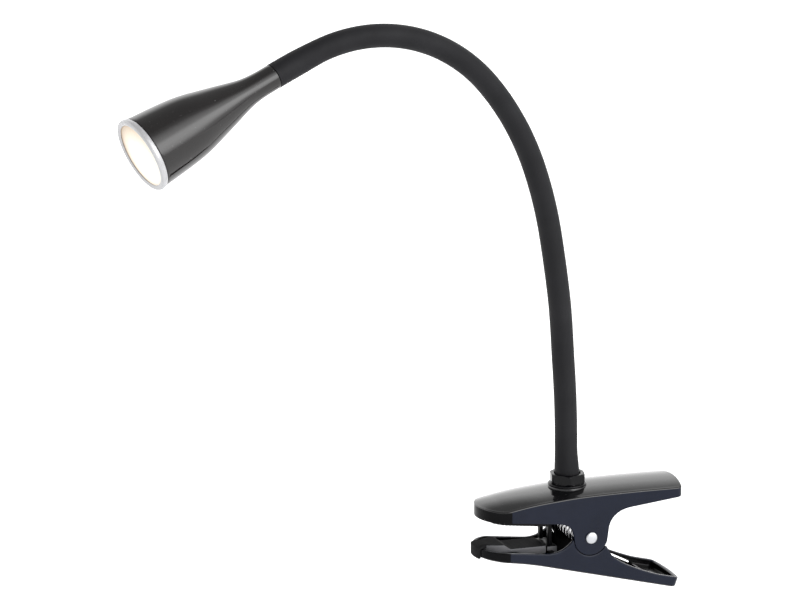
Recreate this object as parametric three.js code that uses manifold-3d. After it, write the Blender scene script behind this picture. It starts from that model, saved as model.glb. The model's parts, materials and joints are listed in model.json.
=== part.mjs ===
// Clip-on reading lamp: a sprung clamp, a sleeved gooseneck and a bell-shaped LED head.
// Millimetres, +Z up. X runs along the clamp, jaws towards -X, squeeze handles towards +X.
// The object is drawn around the foot of the gooseneck, on the crest of the upper arm, and the
// whole group is then moved so that its origin is the middle of the upper pad's grip face.

import * as THREE from "three";
import { mergeVertices } from "three/addons/utils/BufferGeometryUtils.js";
import Module from "manifold-3d";

const wasm = await Module();
wasm.setup();

// ---------------------------------------------------------------- driving dimensions

const GAP = 0.3; // between pieces that touch
const WALL = 2; // moulded walls of both arms

// Clamp arms
const HALF_WIDTH = 19.5;
const CROWN = 3.2; // rise of the top plate from its long edges to its middle
const CROWN_RADIUS = (HALF_WIDTH ** 2 + CROWN ** 2) / (2 * CROWN);
const UPPER_NOSE_X = -56.5;
const UPPER_TAIL_X = 67.5;
const LOWER_NOSE_X = -57.3;
const LOWER_TAIL_X = 64;
const NOSE_LENGTH = 15; // the rounded front of both arms, in plan
const TAIL_SAGITTA = 3; // how far the tail's middle stands past its corners
const TAIL_CORNER = 3.5;

// Pivot and spring
const PIVOT = { x: 7.75, z: -28 };
const EAR_RADIUS = 10.5;
const PIN_RADIUS = 2;
const PIN_HOLE = PIN_RADIUS + GAP;
const PIN_HEAD_RADIUS = 3.4;
const PIN_HEAD = 1.1;
const LUG_RADIUS = 9.2;
const LUG_OUT = HALF_WIDTH - WALL - 0.5; // outer face of the lower arm's inner lugs
const LUG_THICKNESS = 2.6;
const HUB_RADIUS = 6.4; // bosses on the lugs that carry the coil
const HUB_LENGTH = 5;
const WIRE_RADIUS = 0.9;
const COIL_RADIUS = 8; // to the middle of the wire
const COIL_PITCH = 4.4;
const COIL_TURNS = 5.5;
const UPPER_RISE = (35 * Math.PI) / 180; // slopes at which the legs leave the coil
const LOWER_RISE = (27 * Math.PI) / 180;
const UPPER_LEG = 28.5;
const LOWER_LEG = 45;

// Stop ribs: they hold the closed jaws apart
const STOP_X = -14.7;
const STOP_Z = -33.6;
const STOP_INNER = 5; // each stop stands between these two distances from the middle
const STOP_OUTER = 9.2;
const STOP_THICKNESS = 2;

// Pads
const PAD_HALF_WIDTH = 14.5; // of the upper pad
const LOWER_PAD_HALF_WIDTH = 9.5;
const UPPER_PAD_FRONT = { x: -51, z: -16.5 };
const UPPER_PAD_BACK = { x: -16.2, z: -20.7 };
const LOWER_PAD_FRONT = { x: -53, z: -33.1 };
const LOWER_PAD_BACK = { x: -16.6, z: -33.3 };
const PAD_DEPTH = 5;
const LOWER_PAD_DEPTH = 2.2;
const LIP_TOP = -30.3; // the lower pad's raised front

// Collar at the foot of the gooseneck
const BOSS_RADIUS = 11.6;
const FLANGE_RADIUS = 11.3;
const FLANGE_TOP = 1.3;
const NUT_FLATS = 19.5; // across the hexagon
const NUT_RADIUS = 10.9; // its corners are rounded off to this
const NUT_TOP = 7.3;
const SEAT_Z = -3.6; // flat underside of the plate round the hole
const FERRULE_RADIUS = 4.8;
const FERRULE_BORE = 2.2;
const FERRULE_LENGTH = 14; // of each ferrule, inside the gooseneck

// Gooseneck: stretches of [length, turn in degrees] from the collar to the head
const NECK_YAW = 11.5;
const NECK_STRETCHES = [
  [20, 0],
  [40, 4],
  [92, 7],
  [41, 10],
  [59, 21],
  [107, 60],
  [15, 9],
  [28, 3],
];
const NECK_LENGTH = NECK_STRETCHES.reduce((sum, [length]) => sum + length, 0);
const NECK_JOINTS = [50, 112, 230, 325, NECK_LENGTH - 28]; // where the neck is posed
const JOINT_GAP = 2; // half the space left in sleeve and core at a joint
const LEAD_GAP = 0.7;
const SLEEVE_RADIUS = 6.6;
const SLEEVE_BORE = 5.2;
const SLEEVE_END_RADIUS = 7.25; // the sleeve swells at both ends
const CORE_RADIUS = 4.8;
const CORE_BORE = 2.4;
const LEAD_RADIUS = 1.6;
const TUBE_SIDES = 20;

// Head, measured from its joint with the gooseneck along its own axis
const HEAD_PROFILE = [
  [7.1, 0],
  [7.2, 12],
  [8.4, 20],
  [11.7, 32],
  [14.6, 43],
  [17.4, 54],
  [19.1, 67.5],
  [20.6, 85.5],
];
const HEAD_WALL = 1.5;
const HEAD_LENGTH = 85.5;
const HEAD_SHOULDER = 24; // the thick rear part ends here
const RING_RADIUS = 21.25;
const RING_FRONT = 89.4;
const LENS_RADIUS = 18.6;
const REBATE_RADIUS = 19.8; // the shell's mouth is opened out to this for the ring
const REBATE_Z = 81.5;
const LENS_CROWN = 90.2;
const BOARD_Z = 64;
const BOARD_RADIUS = 11;
const BOARD_THICKNESS = 1.4;
const SCREW_CIRCLE = 8;
const LED_CIRCLE = 4.6;

// Cable inlet, in the far side wall of the upper arm
const INLET = { x: 34, z: -8 };
const INLET_HOLE = 3.1;

// The cable's clamp: two screw posts under the top plate and the strap across them
const LEAD_CLAMP_Z = -9.4; // lower ends of the posts
const LEAD_Y = 1.5;
const LEAD_CLAMP_SCREWS = [
  [22, LEAD_Y - 6],
  [22, LEAD_Y + 6],
];

// ---------------------------------------------------------------- solid modelling helpers

// A closed three.js geometry as a manifold solid, facing out.
function solid(geometry) {
  const bare = geometry.clone();
  bare.deleteAttribute("normal");
  bare.deleteAttribute("uv");
  const merged = mergeVertices(bare, 1e-4);
  const triVerts = new Uint32Array(merged.index.array);
  const vertProperties = new Float32Array(merged.attributes.position.array);
  const made = new wasm.Manifold(new wasm.Mesh({ numProp: 3, vertProperties, triVerts }));
  if (made.volume() > 0) return made;
  return new wasm.Manifold(new wasm.Mesh({ numProp: 3, vertProperties, triVerts: triVerts.reverse() }));
}

// A manifold solid as a three.js geometry with flat facets.
function geometryOf(body) {
  const mesh = body.getMesh();
  const geometry = new THREE.BufferGeometry();
  geometry.setAttribute("position", new THREE.BufferAttribute(mesh.vertProperties, 3));
  geometry.setIndex(new THREE.BufferAttribute(mesh.triVerts, 1));
  const flat = geometry.toNonIndexed();
  flat.computeVertexNormals();
  return flat;
}

const join = (first, ...rest) => rest.reduce((sum, piece) => sum.add(piece), first);
const cut = (first, ...rest) => rest.reduce((left, piece) => left.subtract(piece), first);
const common = (first, ...rest) => rest.reduce((shared, piece) => shared.intersect(piece), first);

function polygon(points) {
  return new THREE.Shape(points.map(([a, b]) => new THREE.Vector2(a, b)));
}

// A shape drawn in X and Z, standing between two Y values.
function acrossY(shape, low, high, curveSegments = 8) {
  const geometry = new THREE.ExtrudeGeometry(shape, {
    depth: high - low,
    bevelEnabled: false,
    curveSegments,
  });
  geometry.rotateX(Math.PI / 2);
  geometry.translate(0, high, 0);
  return solid(geometry);
}

// A shape drawn in X and Y, standing between two Z values.
function alongZ(shape, low, high, curveSegments = 8) {
  const geometry = new THREE.ExtrudeGeometry(shape, {
    depth: high - low,
    bevelEnabled: false,
    curveSegments,
  });
  geometry.translate(0, 0, low);
  return solid(geometry);
}

// A closed profile of [radius, z] points turned about Z.
function turned(profile, sides = 32) {
  const geometry = new THREE.LatheGeometry(
    profile.map(([r, z]) => new THREE.Vector2(r, z)),
    sides,
  );
  geometry.rotateX(Math.PI / 2);
  return solid(geometry);
}

function tubeProfile(outer, inner, low, high) {
  return [
    [inner, low],
    [outer, low],
    [outer, high],
    [inner, high],
    [inner, low],
  ];
}

function box(x0, x1, y0, y1, z0, z1) {
  const geometry = new THREE.BoxGeometry(x1 - x0, y1 - y0, z1 - z0);
  geometry.translate((x0 + x1) / 2, (y0 + y1) / 2, (z0 + z1) / 2);
  return solid(geometry);
}

// A round rod along Y through (x, z).
function rodAlongY(radius, low, high, x, z, sides = 24) {
  const geometry = new THREE.CylinderGeometry(radius, radius, high - low, sides);
  geometry.translate(x, (low + high) / 2, z);
  return solid(geometry);
}

// A turned profile of [radius, y] points about the Y line through (x, z).
function turnedAboutY(profile, x, z, sides = 24) {
  const geometry = new THREE.LatheGeometry(
    profile.map(([r, y]) => new THREE.Vector2(r, y)),
    sides,
  );
  geometry.translate(x, 0, z);
  return solid(geometry);
}

// A round tube, or a rod where inner is 0, swept along a curve.
function swept(curve, outer, inner, steps, sides = TUBE_SIDES) {
  const section = new THREE.Shape().absarc(0, 0, outer, 0, 2 * Math.PI);
  if (inner > 0) section.holes.push(new THREE.Path().absarc(0, 0, inner, 0, 2 * Math.PI));
  return solid(
    new THREE.ExtrudeGeometry(section, { extrudePath: curve, steps, curveSegments: sides / 2 }),
  );
}

function hexagon(radius, holeRadius) {
  const corners = Array.from({ length: 6 }, (_, k) => {
    const angle = (k * Math.PI) / 3;
    return [radius * Math.cos(angle), radius * Math.sin(angle)];
  });
  const shape = polygon(corners);
  shape.holes.push(new THREE.Path().absarc(0, 0, holeRadius, 0, 2 * Math.PI));
  return shape;
}

// ---------------------------------------------------------------- finishes

const FINISHES = {
  gloss_black: { color: 0x0b0b0d, roughness: 0.12, metalness: 0 },
  neck_rubber: { color: 0x131315, roughness: 0.75, metalness: 0 },
  pad_rubber: { color: 0x2b2a29, roughness: 0.85, metalness: 0 },
  steel: { color: 0xa9abad, roughness: 0.3, metalness: 1 },
  zinc: { color: 0xc9cacb, roughness: 0.4, metalness: 1 },
  spring_steel: { color: 0xb9bbbd, roughness: 0.22, metalness: 1 },
  satin_silver: { color: 0xd4d5d6, roughness: 0.35, metalness: 0.6 },
  opal: { color: 0xfff3df, roughness: 0.4, metalness: 0 },
  white_plastic: { color: 0xf0efec, roughness: 0.5, metalness: 0 },
  aluminium: { color: 0xb5b7ba, roughness: 0.45, metalness: 1 },
  board_white: { color: 0xe9ebe8, roughness: 0.6, metalness: 0 },
  led_yellow: { color: 0xf2c94c, roughness: 0.5, metalness: 0 },
  lead_black: { color: 0x17171a, roughness: 0.6, metalness: 0 },
};

function piece(name, body, finish) {
  const mesh = new THREE.Mesh(geometryOf(body), new THREE.MeshStandardMaterial(FINISHES[finish]));
  mesh.name = name;
  return mesh;
}

// ---------------------------------------------------------------- clamp arms

// Plan outline of an arm: half an ellipse at the nose, straight sides, a bowed tail.
function armPlan(noseX, tailX, inset = 0) {
  const half = HALF_WIDTH - inset;
  const front = noseX + NOSE_LENGTH;
  const back = tailX - TAIL_SAGITTA - inset;
  const shape = new THREE.Shape();
  shape.moveTo(front, -half);
  shape.lineTo(back - TAIL_CORNER, -half);
  shape.quadraticCurveTo(back, -half, back + 0.8, -half + TAIL_CORNER);
  shape.quadraticCurveTo(tailX - inset + 0.6, 0, back + 0.8, half - TAIL_CORNER);
  shape.quadraticCurveTo(back, half, back - TAIL_CORNER, half);
  shape.lineTo(front, half);
  shape.absellipse(front, 0, NOSE_LENGTH - inset, half, Math.PI / 2, (3 * Math.PI) / 2);
  return shape;
}

// Everything under the crowned, gently arched top surface of the upper arm, lowered by drop.
function underCrown(drop) {
  const ridge = new THREE.CatmullRomCurve3(
    [
      [70, 0.1],
      [40, 0.5],
      [20, 0.4],
      [0, 0],
      [-18, -1.3],
      [-34, -2.7],
      [-46, -4.5],
      [-53, -6.9],
      [-59, -10.6],
    ].map(([x, z]) => new THREE.Vector3(x, 0, z - drop)),
  );
  const half = HALF_WIDTH + 1;
  const bend = Math.asin(half / CROWN_RADIUS);
  const section = new THREE.Shape();
  section.moveTo(-half, -60);
  section.lineTo(half, -60);
  section.absarc(0, -CROWN_RADIUS, CROWN_RADIUS, Math.PI / 2 - bend, Math.PI / 2 + bend);
  return solid(
    new THREE.ExtrudeGeometry(section, { extrudePath: ridge, steps: 15, curveSegments: 5 }),
  );
}

// Side outline of the upper arm below its top plate, with the round ear of the pivot.
function upperSide() {
  const left = PIVOT.x - EAR_RADIUS;
  const right = PIVOT.x + EAR_RADIUS;
  const shape = new THREE.Shape();
  shape.moveTo(UPPER_NOSE_X - 2, 5);
  shape.lineTo(UPPER_NOSE_X - 2, -14.8);
  shape.lineTo(-42, -14.8);
  shape.quadraticCurveTo(-26, -16.5, -12, -18.2);
  shape.quadraticCurveTo(left, -19.4, left, PIVOT.z);
  shape.absarc(PIVOT.x, PIVOT.z, EAR_RADIUS, Math.PI, 2 * Math.PI);
  shape.quadraticCurveTo(right, -14, 32, -12);
  shape.lineTo(UPPER_TAIL_X + 2, -7.9);
  shape.lineTo(UPPER_TAIL_X + 2, 5);
  return shape;
}

function upperArm() {
  const outside = common(
    acrossY(upperSide(), -HALF_WIDTH, HALF_WIDTH),
    alongZ(armPlan(UPPER_NOSE_X, UPPER_TAIL_X), -45, 5),
    underCrown(0),
  );
  const hollow = common(
    alongZ(armPlan(UPPER_NOSE_X, UPPER_TAIL_X, WALL), -45, 5),
    underCrown(WALL + 0.2),
  );
  const nearRoof = common(box(-60, 70, -HALF_WIDTH, HALF_WIDTH, -60, 5), underCrown(0.6));
  const innerHalf = HALF_WIDTH - WALL + 0.1;
  const boss = turned([[0, SEAT_Z], [BOSS_RADIUS, SEAT_Z], [BOSS_RADIUS - 0.4, 0], [0, 0]]);
  const stops = [-1, 1].map((side) => {
    const ends = [side * STOP_INNER, side * STOP_OUTER];
    return box(STOP_X, STOP_X + STOP_THICKNESS, Math.min(...ends), Math.max(...ends), STOP_Z, 5);
  });
  const padRibs = [-48, -34, -22].map((x) =>
    box(x, x + 1.4, -innerHalf, innerHalf, padTop(x), 5),
  );
  const handleRib = box(24, 64.4, -0.8, 0.8, -7, 5);
  const posts = LEAD_CLAMP_SCREWS.map(([x, y]) => {
    const shaft = turned([[0, LEAD_CLAMP_Z], [2.6, LEAD_CLAMP_Z], [2.6, 5], [0, 5]], 16);
    return shaft.translate([x, y, 0]);
  });
  const inner = common(join(stops[0], stops[1], ...padRibs, handleRib, ...posts), nearRoof);
  const screwHoles = LEAD_CLAMP_SCREWS.map(([x, y]) =>
    turned([[0, -20], [1.5, -20], [1.5, -3.4], [0, -3.4]], 12).translate([x, y, 0]),
  );
  return cut(
    join(cut(outside, hollow), boss, inner),
    turned([[0, -12], [FERRULE_RADIUS + GAP, -12], [FERRULE_RADIUS + GAP, 5], [0, 5]]),
    rodAlongY(PIN_HOLE, -30, 30, PIVOT.x, PIVOT.z),
    rodAlongY(INLET_HOLE, 10, 30, INLET.x, INLET.z),
    ...screwHoles,
  );
}

// Height of the upper pad's hidden top face at x.
function padTop(x) {
  const slope =
    (UPPER_PAD_BACK.z - UPPER_PAD_FRONT.z) / (UPPER_PAD_BACK.x - UPPER_PAD_FRONT.x);
  return UPPER_PAD_FRONT.z + slope * (x - UPPER_PAD_FRONT.x) + PAD_DEPTH + GAP;
}

// Side outline of the lower arm; its upper edge is cut round the upper arm's ear.
function lowerSide() {
  const shape = new THREE.Shape();
  shape.moveTo(LOWER_NOSE_X - 2, -32.2);
  shape.lineTo(LOWER_NOSE_X - 2, -37.2);
  shape.quadraticCurveTo(-40, -37.8, -15.5, -44.4);
  shape.lineTo(LOWER_TAIL_X + 2, -64.9);
  shape.lineTo(LOWER_TAIL_X + 2, -59.4);
  shape.lineTo(49, -54.2);
  shape.quadraticCurveTo(22.5, -45, 19.5, -37.5);
  shape.lineTo(14.5, -27);
  shape.lineTo(-2, -27);
  shape.quadraticCurveTo(-8.5, -36, -19, -35.5);
  shape.lineTo(-44, -32.6);
  return shape;
}

// The lower arm's inside floor, WALL above its underside, from x = start to the tail.
function lowerHollow() {
  const slope = (64.9 - 44.4) / (LOWER_TAIL_X + 2 + 15.5);
  const start = STOP_X + 2.6;
  const floorAt = (x) => -44.4 - slope * (x + 15.5) + WALL;
  const back = polygon([
    [start, floorAt(start)],
    [LOWER_TAIL_X + 4, floorAt(LOWER_TAIL_X + 4)],
    [LOWER_TAIL_X + 4, 0],
    [start, 0],
  ]);
  const frontEnd = STOP_X - 1.2;
  const front = polygon([
    [LOWER_NOSE_X - 2, -35.8],
    [-46, -36],
    [frontEnd, -41.6],
    [frontEnd, 0],
    [LOWER_NOSE_X - 2, 0],
  ]);
  const half = HALF_WIDTH - WALL;
  const plan = alongZ(armPlan(LOWER_NOSE_X, LOWER_TAIL_X, WALL), -80, 5);
  return common(join(acrossY(back, -half, half), acrossY(front, -half, half)), plan);
}

function lowerLug(side) {
  const inner = side * (LUG_OUT - LUG_THICKNESS);
  const outer = side * LUG_OUT;
  const [low, high] = [Math.min(inner, outer), Math.max(inner, outer)];
  const foot = polygon([
    [PIVOT.x - LUG_RADIUS, PIVOT.z],
    [PIVOT.x - LUG_RADIUS, -47.5],
    [PIVOT.x + LUG_RADIUS, -52],
    [PIVOT.x + LUG_RADIUS, PIVOT.z],
  ]);
  const hubEnd = side * (LUG_OUT - LUG_THICKNESS - HUB_LENGTH);
  return join(
    acrossY(foot, low, high),
    rodAlongY(LUG_RADIUS, low, high, PIVOT.x, PIVOT.z, 32),
    rodAlongY(HUB_RADIUS, Math.min(hubEnd, outer), Math.max(hubEnd, outer), PIVOT.x, PIVOT.z),
  );
}

function lowerArm() {
  const outside = common(
    acrossY(lowerSide(), -HALF_WIDTH, HALF_WIDTH),
    alongZ(armPlan(LOWER_NOSE_X, LOWER_TAIL_X), -80, 5),
  );
  const half = LOWER_PAD_HALF_WIDTH;
  const stopWall = box(STOP_X - 1.2, STOP_X + 5.4, -half, half, -43.5, STOP_Z - GAP);
  const padRibs = [-47, -34, -23].map((x) => {
    const top = lowerPadTop(x) - LOWER_PAD_DEPTH - GAP - 0.05;
    const rib = box(x, x + 1.4, -HALF_WIDTH + 1, HALF_WIDTH - 1, -44, top);
    return common(rib, outside);
  });
  const earSpace = rodAlongY(EAR_RADIUS + 0.4, -30, 30, PIVOT.x, PIVOT.z, 48);
  const sides = cut(outside, lowerHollow(), earSpace);
  const tailRibs = [34, 46].map((x) =>
    common(box(x, x + 1.4, -HALF_WIDTH + 1, HALF_WIDTH - 1, -70, -52.6 - 0.25 * (x - 34)), outside),
  );
  const made = join(sides, stopWall, ...padRibs, ...tailRibs, lowerLug(-1), lowerLug(1));
  return cut(made, rodAlongY(PIN_HOLE, -30, 30, PIVOT.x, PIVOT.z));
}

// Height of the lower pad's grip face at x.
function lowerPadTop(x) {
  const slope =
    (LOWER_PAD_BACK.z - LOWER_PAD_FRONT.z) / (LOWER_PAD_BACK.x - LOWER_PAD_FRONT.x);
  return LOWER_PAD_FRONT.z + slope * (x - LOWER_PAD_FRONT.x);
}

// ---------------------------------------------------------------- pads

// A pad's plan follows the arm's nose, just inside the moulded wall.
function padPlan(noseX, half) {
  const clear = WALL + GAP;
  const front = noseX + NOSE_LENGTH;
  const shape = new THREE.Shape();
  shape.moveTo(front, -half);
  shape.lineTo(STOP_X - 1.5, -half);
  shape.lineTo(STOP_X - 1.5, half);
  shape.lineTo(front, half);
  shape.absellipse(front, 0, NOSE_LENGTH - clear, half, Math.PI / 2, 1.5 * Math.PI);
  return shape;
}

function upperPad() {
  const side = polygon([
    [UPPER_PAD_FRONT.x - 4, UPPER_PAD_FRONT.z + PAD_DEPTH + 0.5],
    [UPPER_PAD_FRONT.x - 4, UPPER_PAD_FRONT.z + 2.4],
    [UPPER_PAD_FRONT.x, UPPER_PAD_FRONT.z],
    [UPPER_PAD_BACK.x, UPPER_PAD_BACK.z],
    [UPPER_PAD_BACK.x, UPPER_PAD_BACK.z + PAD_DEPTH],
    [UPPER_PAD_FRONT.x, UPPER_PAD_FRONT.z + PAD_DEPTH],
  ]);
  return common(
    acrossY(side, -PAD_HALF_WIDTH, PAD_HALF_WIDTH),
    alongZ(padPlan(UPPER_NOSE_X, PAD_HALF_WIDTH), -40, 0),
  );
}

// The lower pad has a raised lip across the nose and a tongue that hooks over it.
function lowerPad() {
  const { x: frontX, z: frontZ } = LOWER_PAD_FRONT;
  const { x: backX, z: backZ } = LOWER_PAD_BACK;
  const side = new THREE.Shape();
  side.moveTo(frontX - 3, frontZ - LOWER_PAD_DEPTH);
  side.lineTo(frontX - 3, LIP_TOP - 0.9);
  side.quadraticCurveTo(-52, LIP_TOP - 0.1, -49, LIP_TOP);
  side.lineTo(-43.5, LIP_TOP);
  side.quadraticCurveTo(-41.5, LIP_TOP, -40, LIP_TOP - 1.5);
  side.lineTo(-38, lowerPadTop(-38));
  side.lineTo(backX, backZ);
  side.lineTo(backX, backZ - LOWER_PAD_DEPTH);
  const block = common(
    acrossY(side, -LOWER_PAD_HALF_WIDTH, LOWER_PAD_HALF_WIDTH),
    alongZ(padPlan(LOWER_NOSE_X, LOWER_PAD_HALF_WIDTH), -45, -20),
  );
  const tongueHalf = 7.5;
  const tongue = common(
    acrossY(
      polygon([
        [-62, -38.4],
        [-62, LIP_TOP - 0.6],
        [-50, LIP_TOP - 0.1],
        [-50, -31.9],
        [LOWER_NOSE_X - GAP, -31.9],
        [LOWER_NOSE_X - GAP, -38.4],
      ]),
      -tongueHalf,
      tongueHalf,
    ),
    alongZ(tonguePlan(), -45, -20, 12),
  );
  return join(block, tongue);
}

// The tongue stands 1.4 mm in front of the rounded nose.
function tonguePlan() {
  const front = LOWER_NOSE_X + NOSE_LENGTH;
  const shape = new THREE.Shape();
  shape.moveTo(front, -HALF_WIDTH);
  shape.lineTo(front, HALF_WIDTH);
  shape.absellipse(front, 0, NOSE_LENGTH + 1.4, HALF_WIDTH, Math.PI / 2, 1.5 * Math.PI);
  return shape;
}

// ---------------------------------------------------------------- pivot and spring

function pivotPin() {
  const near = -HALF_WIDTH - GAP;
  const far = HALF_WIDTH + GAP + 1.2;
  return turnedAboutY(
    [
      [0, near - PIN_HEAD],
      [PIN_HEAD_RADIUS - 0.5, near - PIN_HEAD],
      [PIN_HEAD_RADIUS, near - PIN_HEAD + 0.5],
      [PIN_HEAD_RADIUS, near],
      [PIN_RADIUS, near],
      [PIN_RADIUS, far],
      [PIN_RADIUS - 0.4, far + 0.4],
      [0, far + 0.4],
    ],
    PIVOT.x,
    PIVOT.z,
  );
}

function pinCap() {
  const face = HALF_WIDTH + GAP;
  return turnedAboutY(
    tubeProfile(PIN_HEAD_RADIUS + 0.4, PIN_RADIUS + GAP, face, face + 1),
    PIVOT.x,
    PIVOT.z,
  );
}

// The wire of the torsion spring: a leg that presses on the floor of the lower handle, the coil,
// and a leg that presses under the roof of the upper handle.
class SpringWire extends THREE.Curve {
  getPoint(t) {
    const turn = 2 * Math.PI * COIL_TURNS - LOWER_RISE - UPPER_RISE;
    const first = LOWER_RISE - Math.PI / 2;
    const coil = COIL_RADIUS * turn;
    const along = t * (LOWER_LEG + coil + UPPER_LEG) - LOWER_LEG;
    const wound = Math.min(Math.max(along, 0), coil) / COIL_RADIUS;
    const straight = Math.min(along, 0) + Math.max(along - coil, 0);
    const angle = first + wound;
    return new THREE.Vector3(
      -COIL_RADIUS * Math.cos(angle) + straight * Math.sin(angle),
      COIL_PITCH * COIL_TURNS * (0.5 - wound / turn),
      COIL_RADIUS * Math.sin(angle) + straight * Math.cos(angle),
    );
  }
}

function torsionSpring() {
  const wire = swept(new SpringWire(), WIRE_RADIUS, 0, 90, 6);
  return wire.translate([PIVOT.x, 0, PIVOT.z]);
}

// ---------------------------------------------------------------- collar

function collarFlange() {
  return turned([
    [FERRULE_RADIUS + 0.6, GAP],
    [FLANGE_RADIUS - 0.3, GAP],
    [FLANGE_RADIUS, GAP + 0.3],
    [FLANGE_RADIUS, FLANGE_TOP - 0.4],
    [FLANGE_RADIUS - 0.4, FLANGE_TOP],
    [FERRULE_RADIUS + 0.6, FLANGE_TOP],
    [FERRULE_RADIUS + 0.6, GAP],
  ]);
}

function collarNut() {
  const low = FLANGE_TOP + GAP;
  const corner = NUT_FLATS / Math.sqrt(3);
  const flats = alongZ(hexagon(corner, SLEEVE_END_RADIUS + 0.5), low, NUT_TOP, 12);
  const rounding = turned([
    [0, low],
    [NUT_RADIUS - 0.4, low],
    [NUT_RADIUS, low + 0.5],
    [NUT_RADIUS, NUT_TOP - 1.2],
    [NUT_RADIUS - 1.3, NUT_TOP],
    [0, NUT_TOP],
  ]);
  return common(flats, rounding);
}

function neckFerrule() {
  return turned(tubeProfile(FERRULE_RADIUS, FERRULE_BORE, -10, FERRULE_LENGTH), 24);
}

function lockWasher() {
  return turned(tubeProfile(8.4, FERRULE_RADIUS + 0.5, SEAT_Z - GAP - 1, SEAT_Z - GAP), 24);
}

function lockNut() {
  const top = SEAT_Z - 2 * GAP - 1;
  return alongZ(hexagon(8, FERRULE_RADIUS + 0.5), top - 4, top, 10);
}

// ---------------------------------------------------------------- lead and inlet

function inletBush() {
  const wallIn = HALF_WIDTH - WALL - GAP;
  const wallOut = HALF_WIDTH + GAP;
  return turnedAboutY(
    [
      [LEAD_RADIUS + 0.4, wallIn - 1.6],
      [3.4, wallIn - 1.6],
      [3.4, wallIn],
      [INLET_HOLE - GAP, wallIn],
      [INLET_HOLE - GAP, wallOut],
      [3.7, wallOut],
      [3.3, wallOut + 1.8],
      [LEAD_RADIUS + 0.4, wallOut + 1.8],
      [LEAD_RADIUS + 0.4, wallIn - 1.6],
    ],
    INLET.x,
    INLET.z,
  );
}

// The lead from inside the gooseneck, down through the ferrule, under the clamp strap and out to
// the inlet bush.
function baseLead() {
  const top = neckPoint(NECK_JOINTS[0] - LEAD_GAP);
  const yaw = (NECK_YAW * Math.PI) / 180;
  const turnedTop = top.clone().applyAxisAngle(new THREE.Vector3(0, 0, 1), yaw);
  const route = new THREE.CatmullRomCurve3([
    turnedTop,
    neckPoint(34).applyAxisAngle(new THREE.Vector3(0, 0, 1), yaw),
    new THREE.Vector3(0, 0, 18),
    new THREE.Vector3(0, 0, 4),
    new THREE.Vector3(0, 0, -9.6),
    new THREE.Vector3(1.2, 0.1, -12.6),
    new THREE.Vector3(6, 0.8, -14),
    new THREE.Vector3(14, LEAD_Y, -12.6),
    new THREE.Vector3(22, LEAD_Y, -11.2),
    new THREE.Vector3(27, 2.6, -10.6),
    new THREE.Vector3(INLET.x - 3, 7, -9.4),
    new THREE.Vector3(INLET.x - 0.3, 12.5, -8.2),
    new THREE.Vector3(INLET.x, 16, INLET.z),
    new THREE.Vector3(INLET.x, HALF_WIDTH + 0.5, INLET.z),
  ]);
  return swept(route, LEAD_RADIUS, 0, 40, 8);
}

// The strap that holds the lead against two posts of the upper arm.
function leadClamp() {
  const [[x, y0], [, y1]] = LEAD_CLAMP_SCREWS;
  const low = LEAD_CLAMP_Z - GAP - 1.2;
  const channel = LEAD_RADIUS + 0.5;
  const depth = 3.6;
  const strap = polygon([
    [y0 - 2.8, low],
    [LEAD_Y - channel - 1.2, low],
    [LEAD_Y - channel - 1.2, low - depth],
    [LEAD_Y + channel + 1.2, low - depth],
    [LEAD_Y + channel + 1.2, low],
    [y1 + 2.8, low],
    [y1 + 2.8, low + 1.2],
    [LEAD_Y + channel, low + 1.2],
    [LEAD_Y + channel, low - depth + 1.2],
    [LEAD_Y - channel, low - depth + 1.2],
    [LEAD_Y - channel, low + 1.2],
    [y0 - 2.8, low + 1.2],
  ]);
  const geometry = new THREE.ExtrudeGeometry(strap, { depth: 5, bevelEnabled: false });
  geometry.rotateX(Math.PI / 2);
  geometry.rotateZ(Math.PI / 2);
  geometry.translate(x - 2.5, 0, 0);
  const holes = LEAD_CLAMP_SCREWS.map(([hx, hy]) =>
    turned([[0, -20], [1.5, -20], [1.5, 0], [0, 0]], 12).translate([hx, hy, 0]),
  );
  return cut(solid(geometry), ...holes);
}

function leadClampScrew([x, y]) {
  const seat = LEAD_CLAMP_Z - 2 * GAP - 1.2;
  const profile = [
    [0, seat - 1.4],
    [1.8, seat - 1.4],
    [2.4, seat - 0.6],
    [2.4, seat],
    [1.2, seat],
    [1.2, -4],
    [0, -3.7],
  ];
  return turned(profile, 12).translate([x, y, 0]);
}

// ---------------------------------------------------------------- gooseneck

// Position on the gooseneck's centre line, in its own upright plane (it bends towards -X).
function neckPoint(distance) {
  let [x, z, angle, left] = [0, 0, 0, distance];
  for (const [length, degrees] of NECK_STRETCHES) {
    const run = Math.min(left, length);
    const turn = (((degrees * Math.PI) / 180) * run) / length;
    const chord = turn ? (2 * run * Math.sin(turn / 2)) / turn : run;
    x -= chord * Math.sin(angle + turn / 2);
    z += chord * Math.cos(angle + turn / 2);
    angle += turn;
    left -= run;
    if (left <= 0) break;
  }
  return new THREE.Vector3(x, 0, z);
}

class NeckStretch extends THREE.Curve {
  constructor(start, end) {
    super();
    this.start = start;
    this.end = end;
  }

  getPoint(t) {
    return neckPoint(this.start + t * (this.end - this.start));
  }
}

function neckTube(start, end, outer, inner, sides) {
  const steps = Math.max(2, Math.round((end - start) / 11));
  return swept(new NeckStretch(start, end), outer, inner, steps, sides);
}

// One posed length of the gooseneck: its sleeve, steel core and lead.
function neckLength(number, start, end) {
  const [from, to] = [start + JOINT_GAP, end - JOINT_GAP];
  return [
    piece(
      `neck_sleeve_${number}`,
      neckTube(from, to, SLEEVE_RADIUS, SLEEVE_BORE, TUBE_SIDES),
      "neck_rubber",
    ),
    piece(`neck_core_${number}`, neckTube(from, to, CORE_RADIUS, CORE_BORE, 12), "steel"),
    piece(
      `neck_lead_${number}`,
      neckTube(start + LEAD_GAP, end - LEAD_GAP, LEAD_RADIUS, 0, 8),
      "lead_black",
    ),
  ];
}

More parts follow.
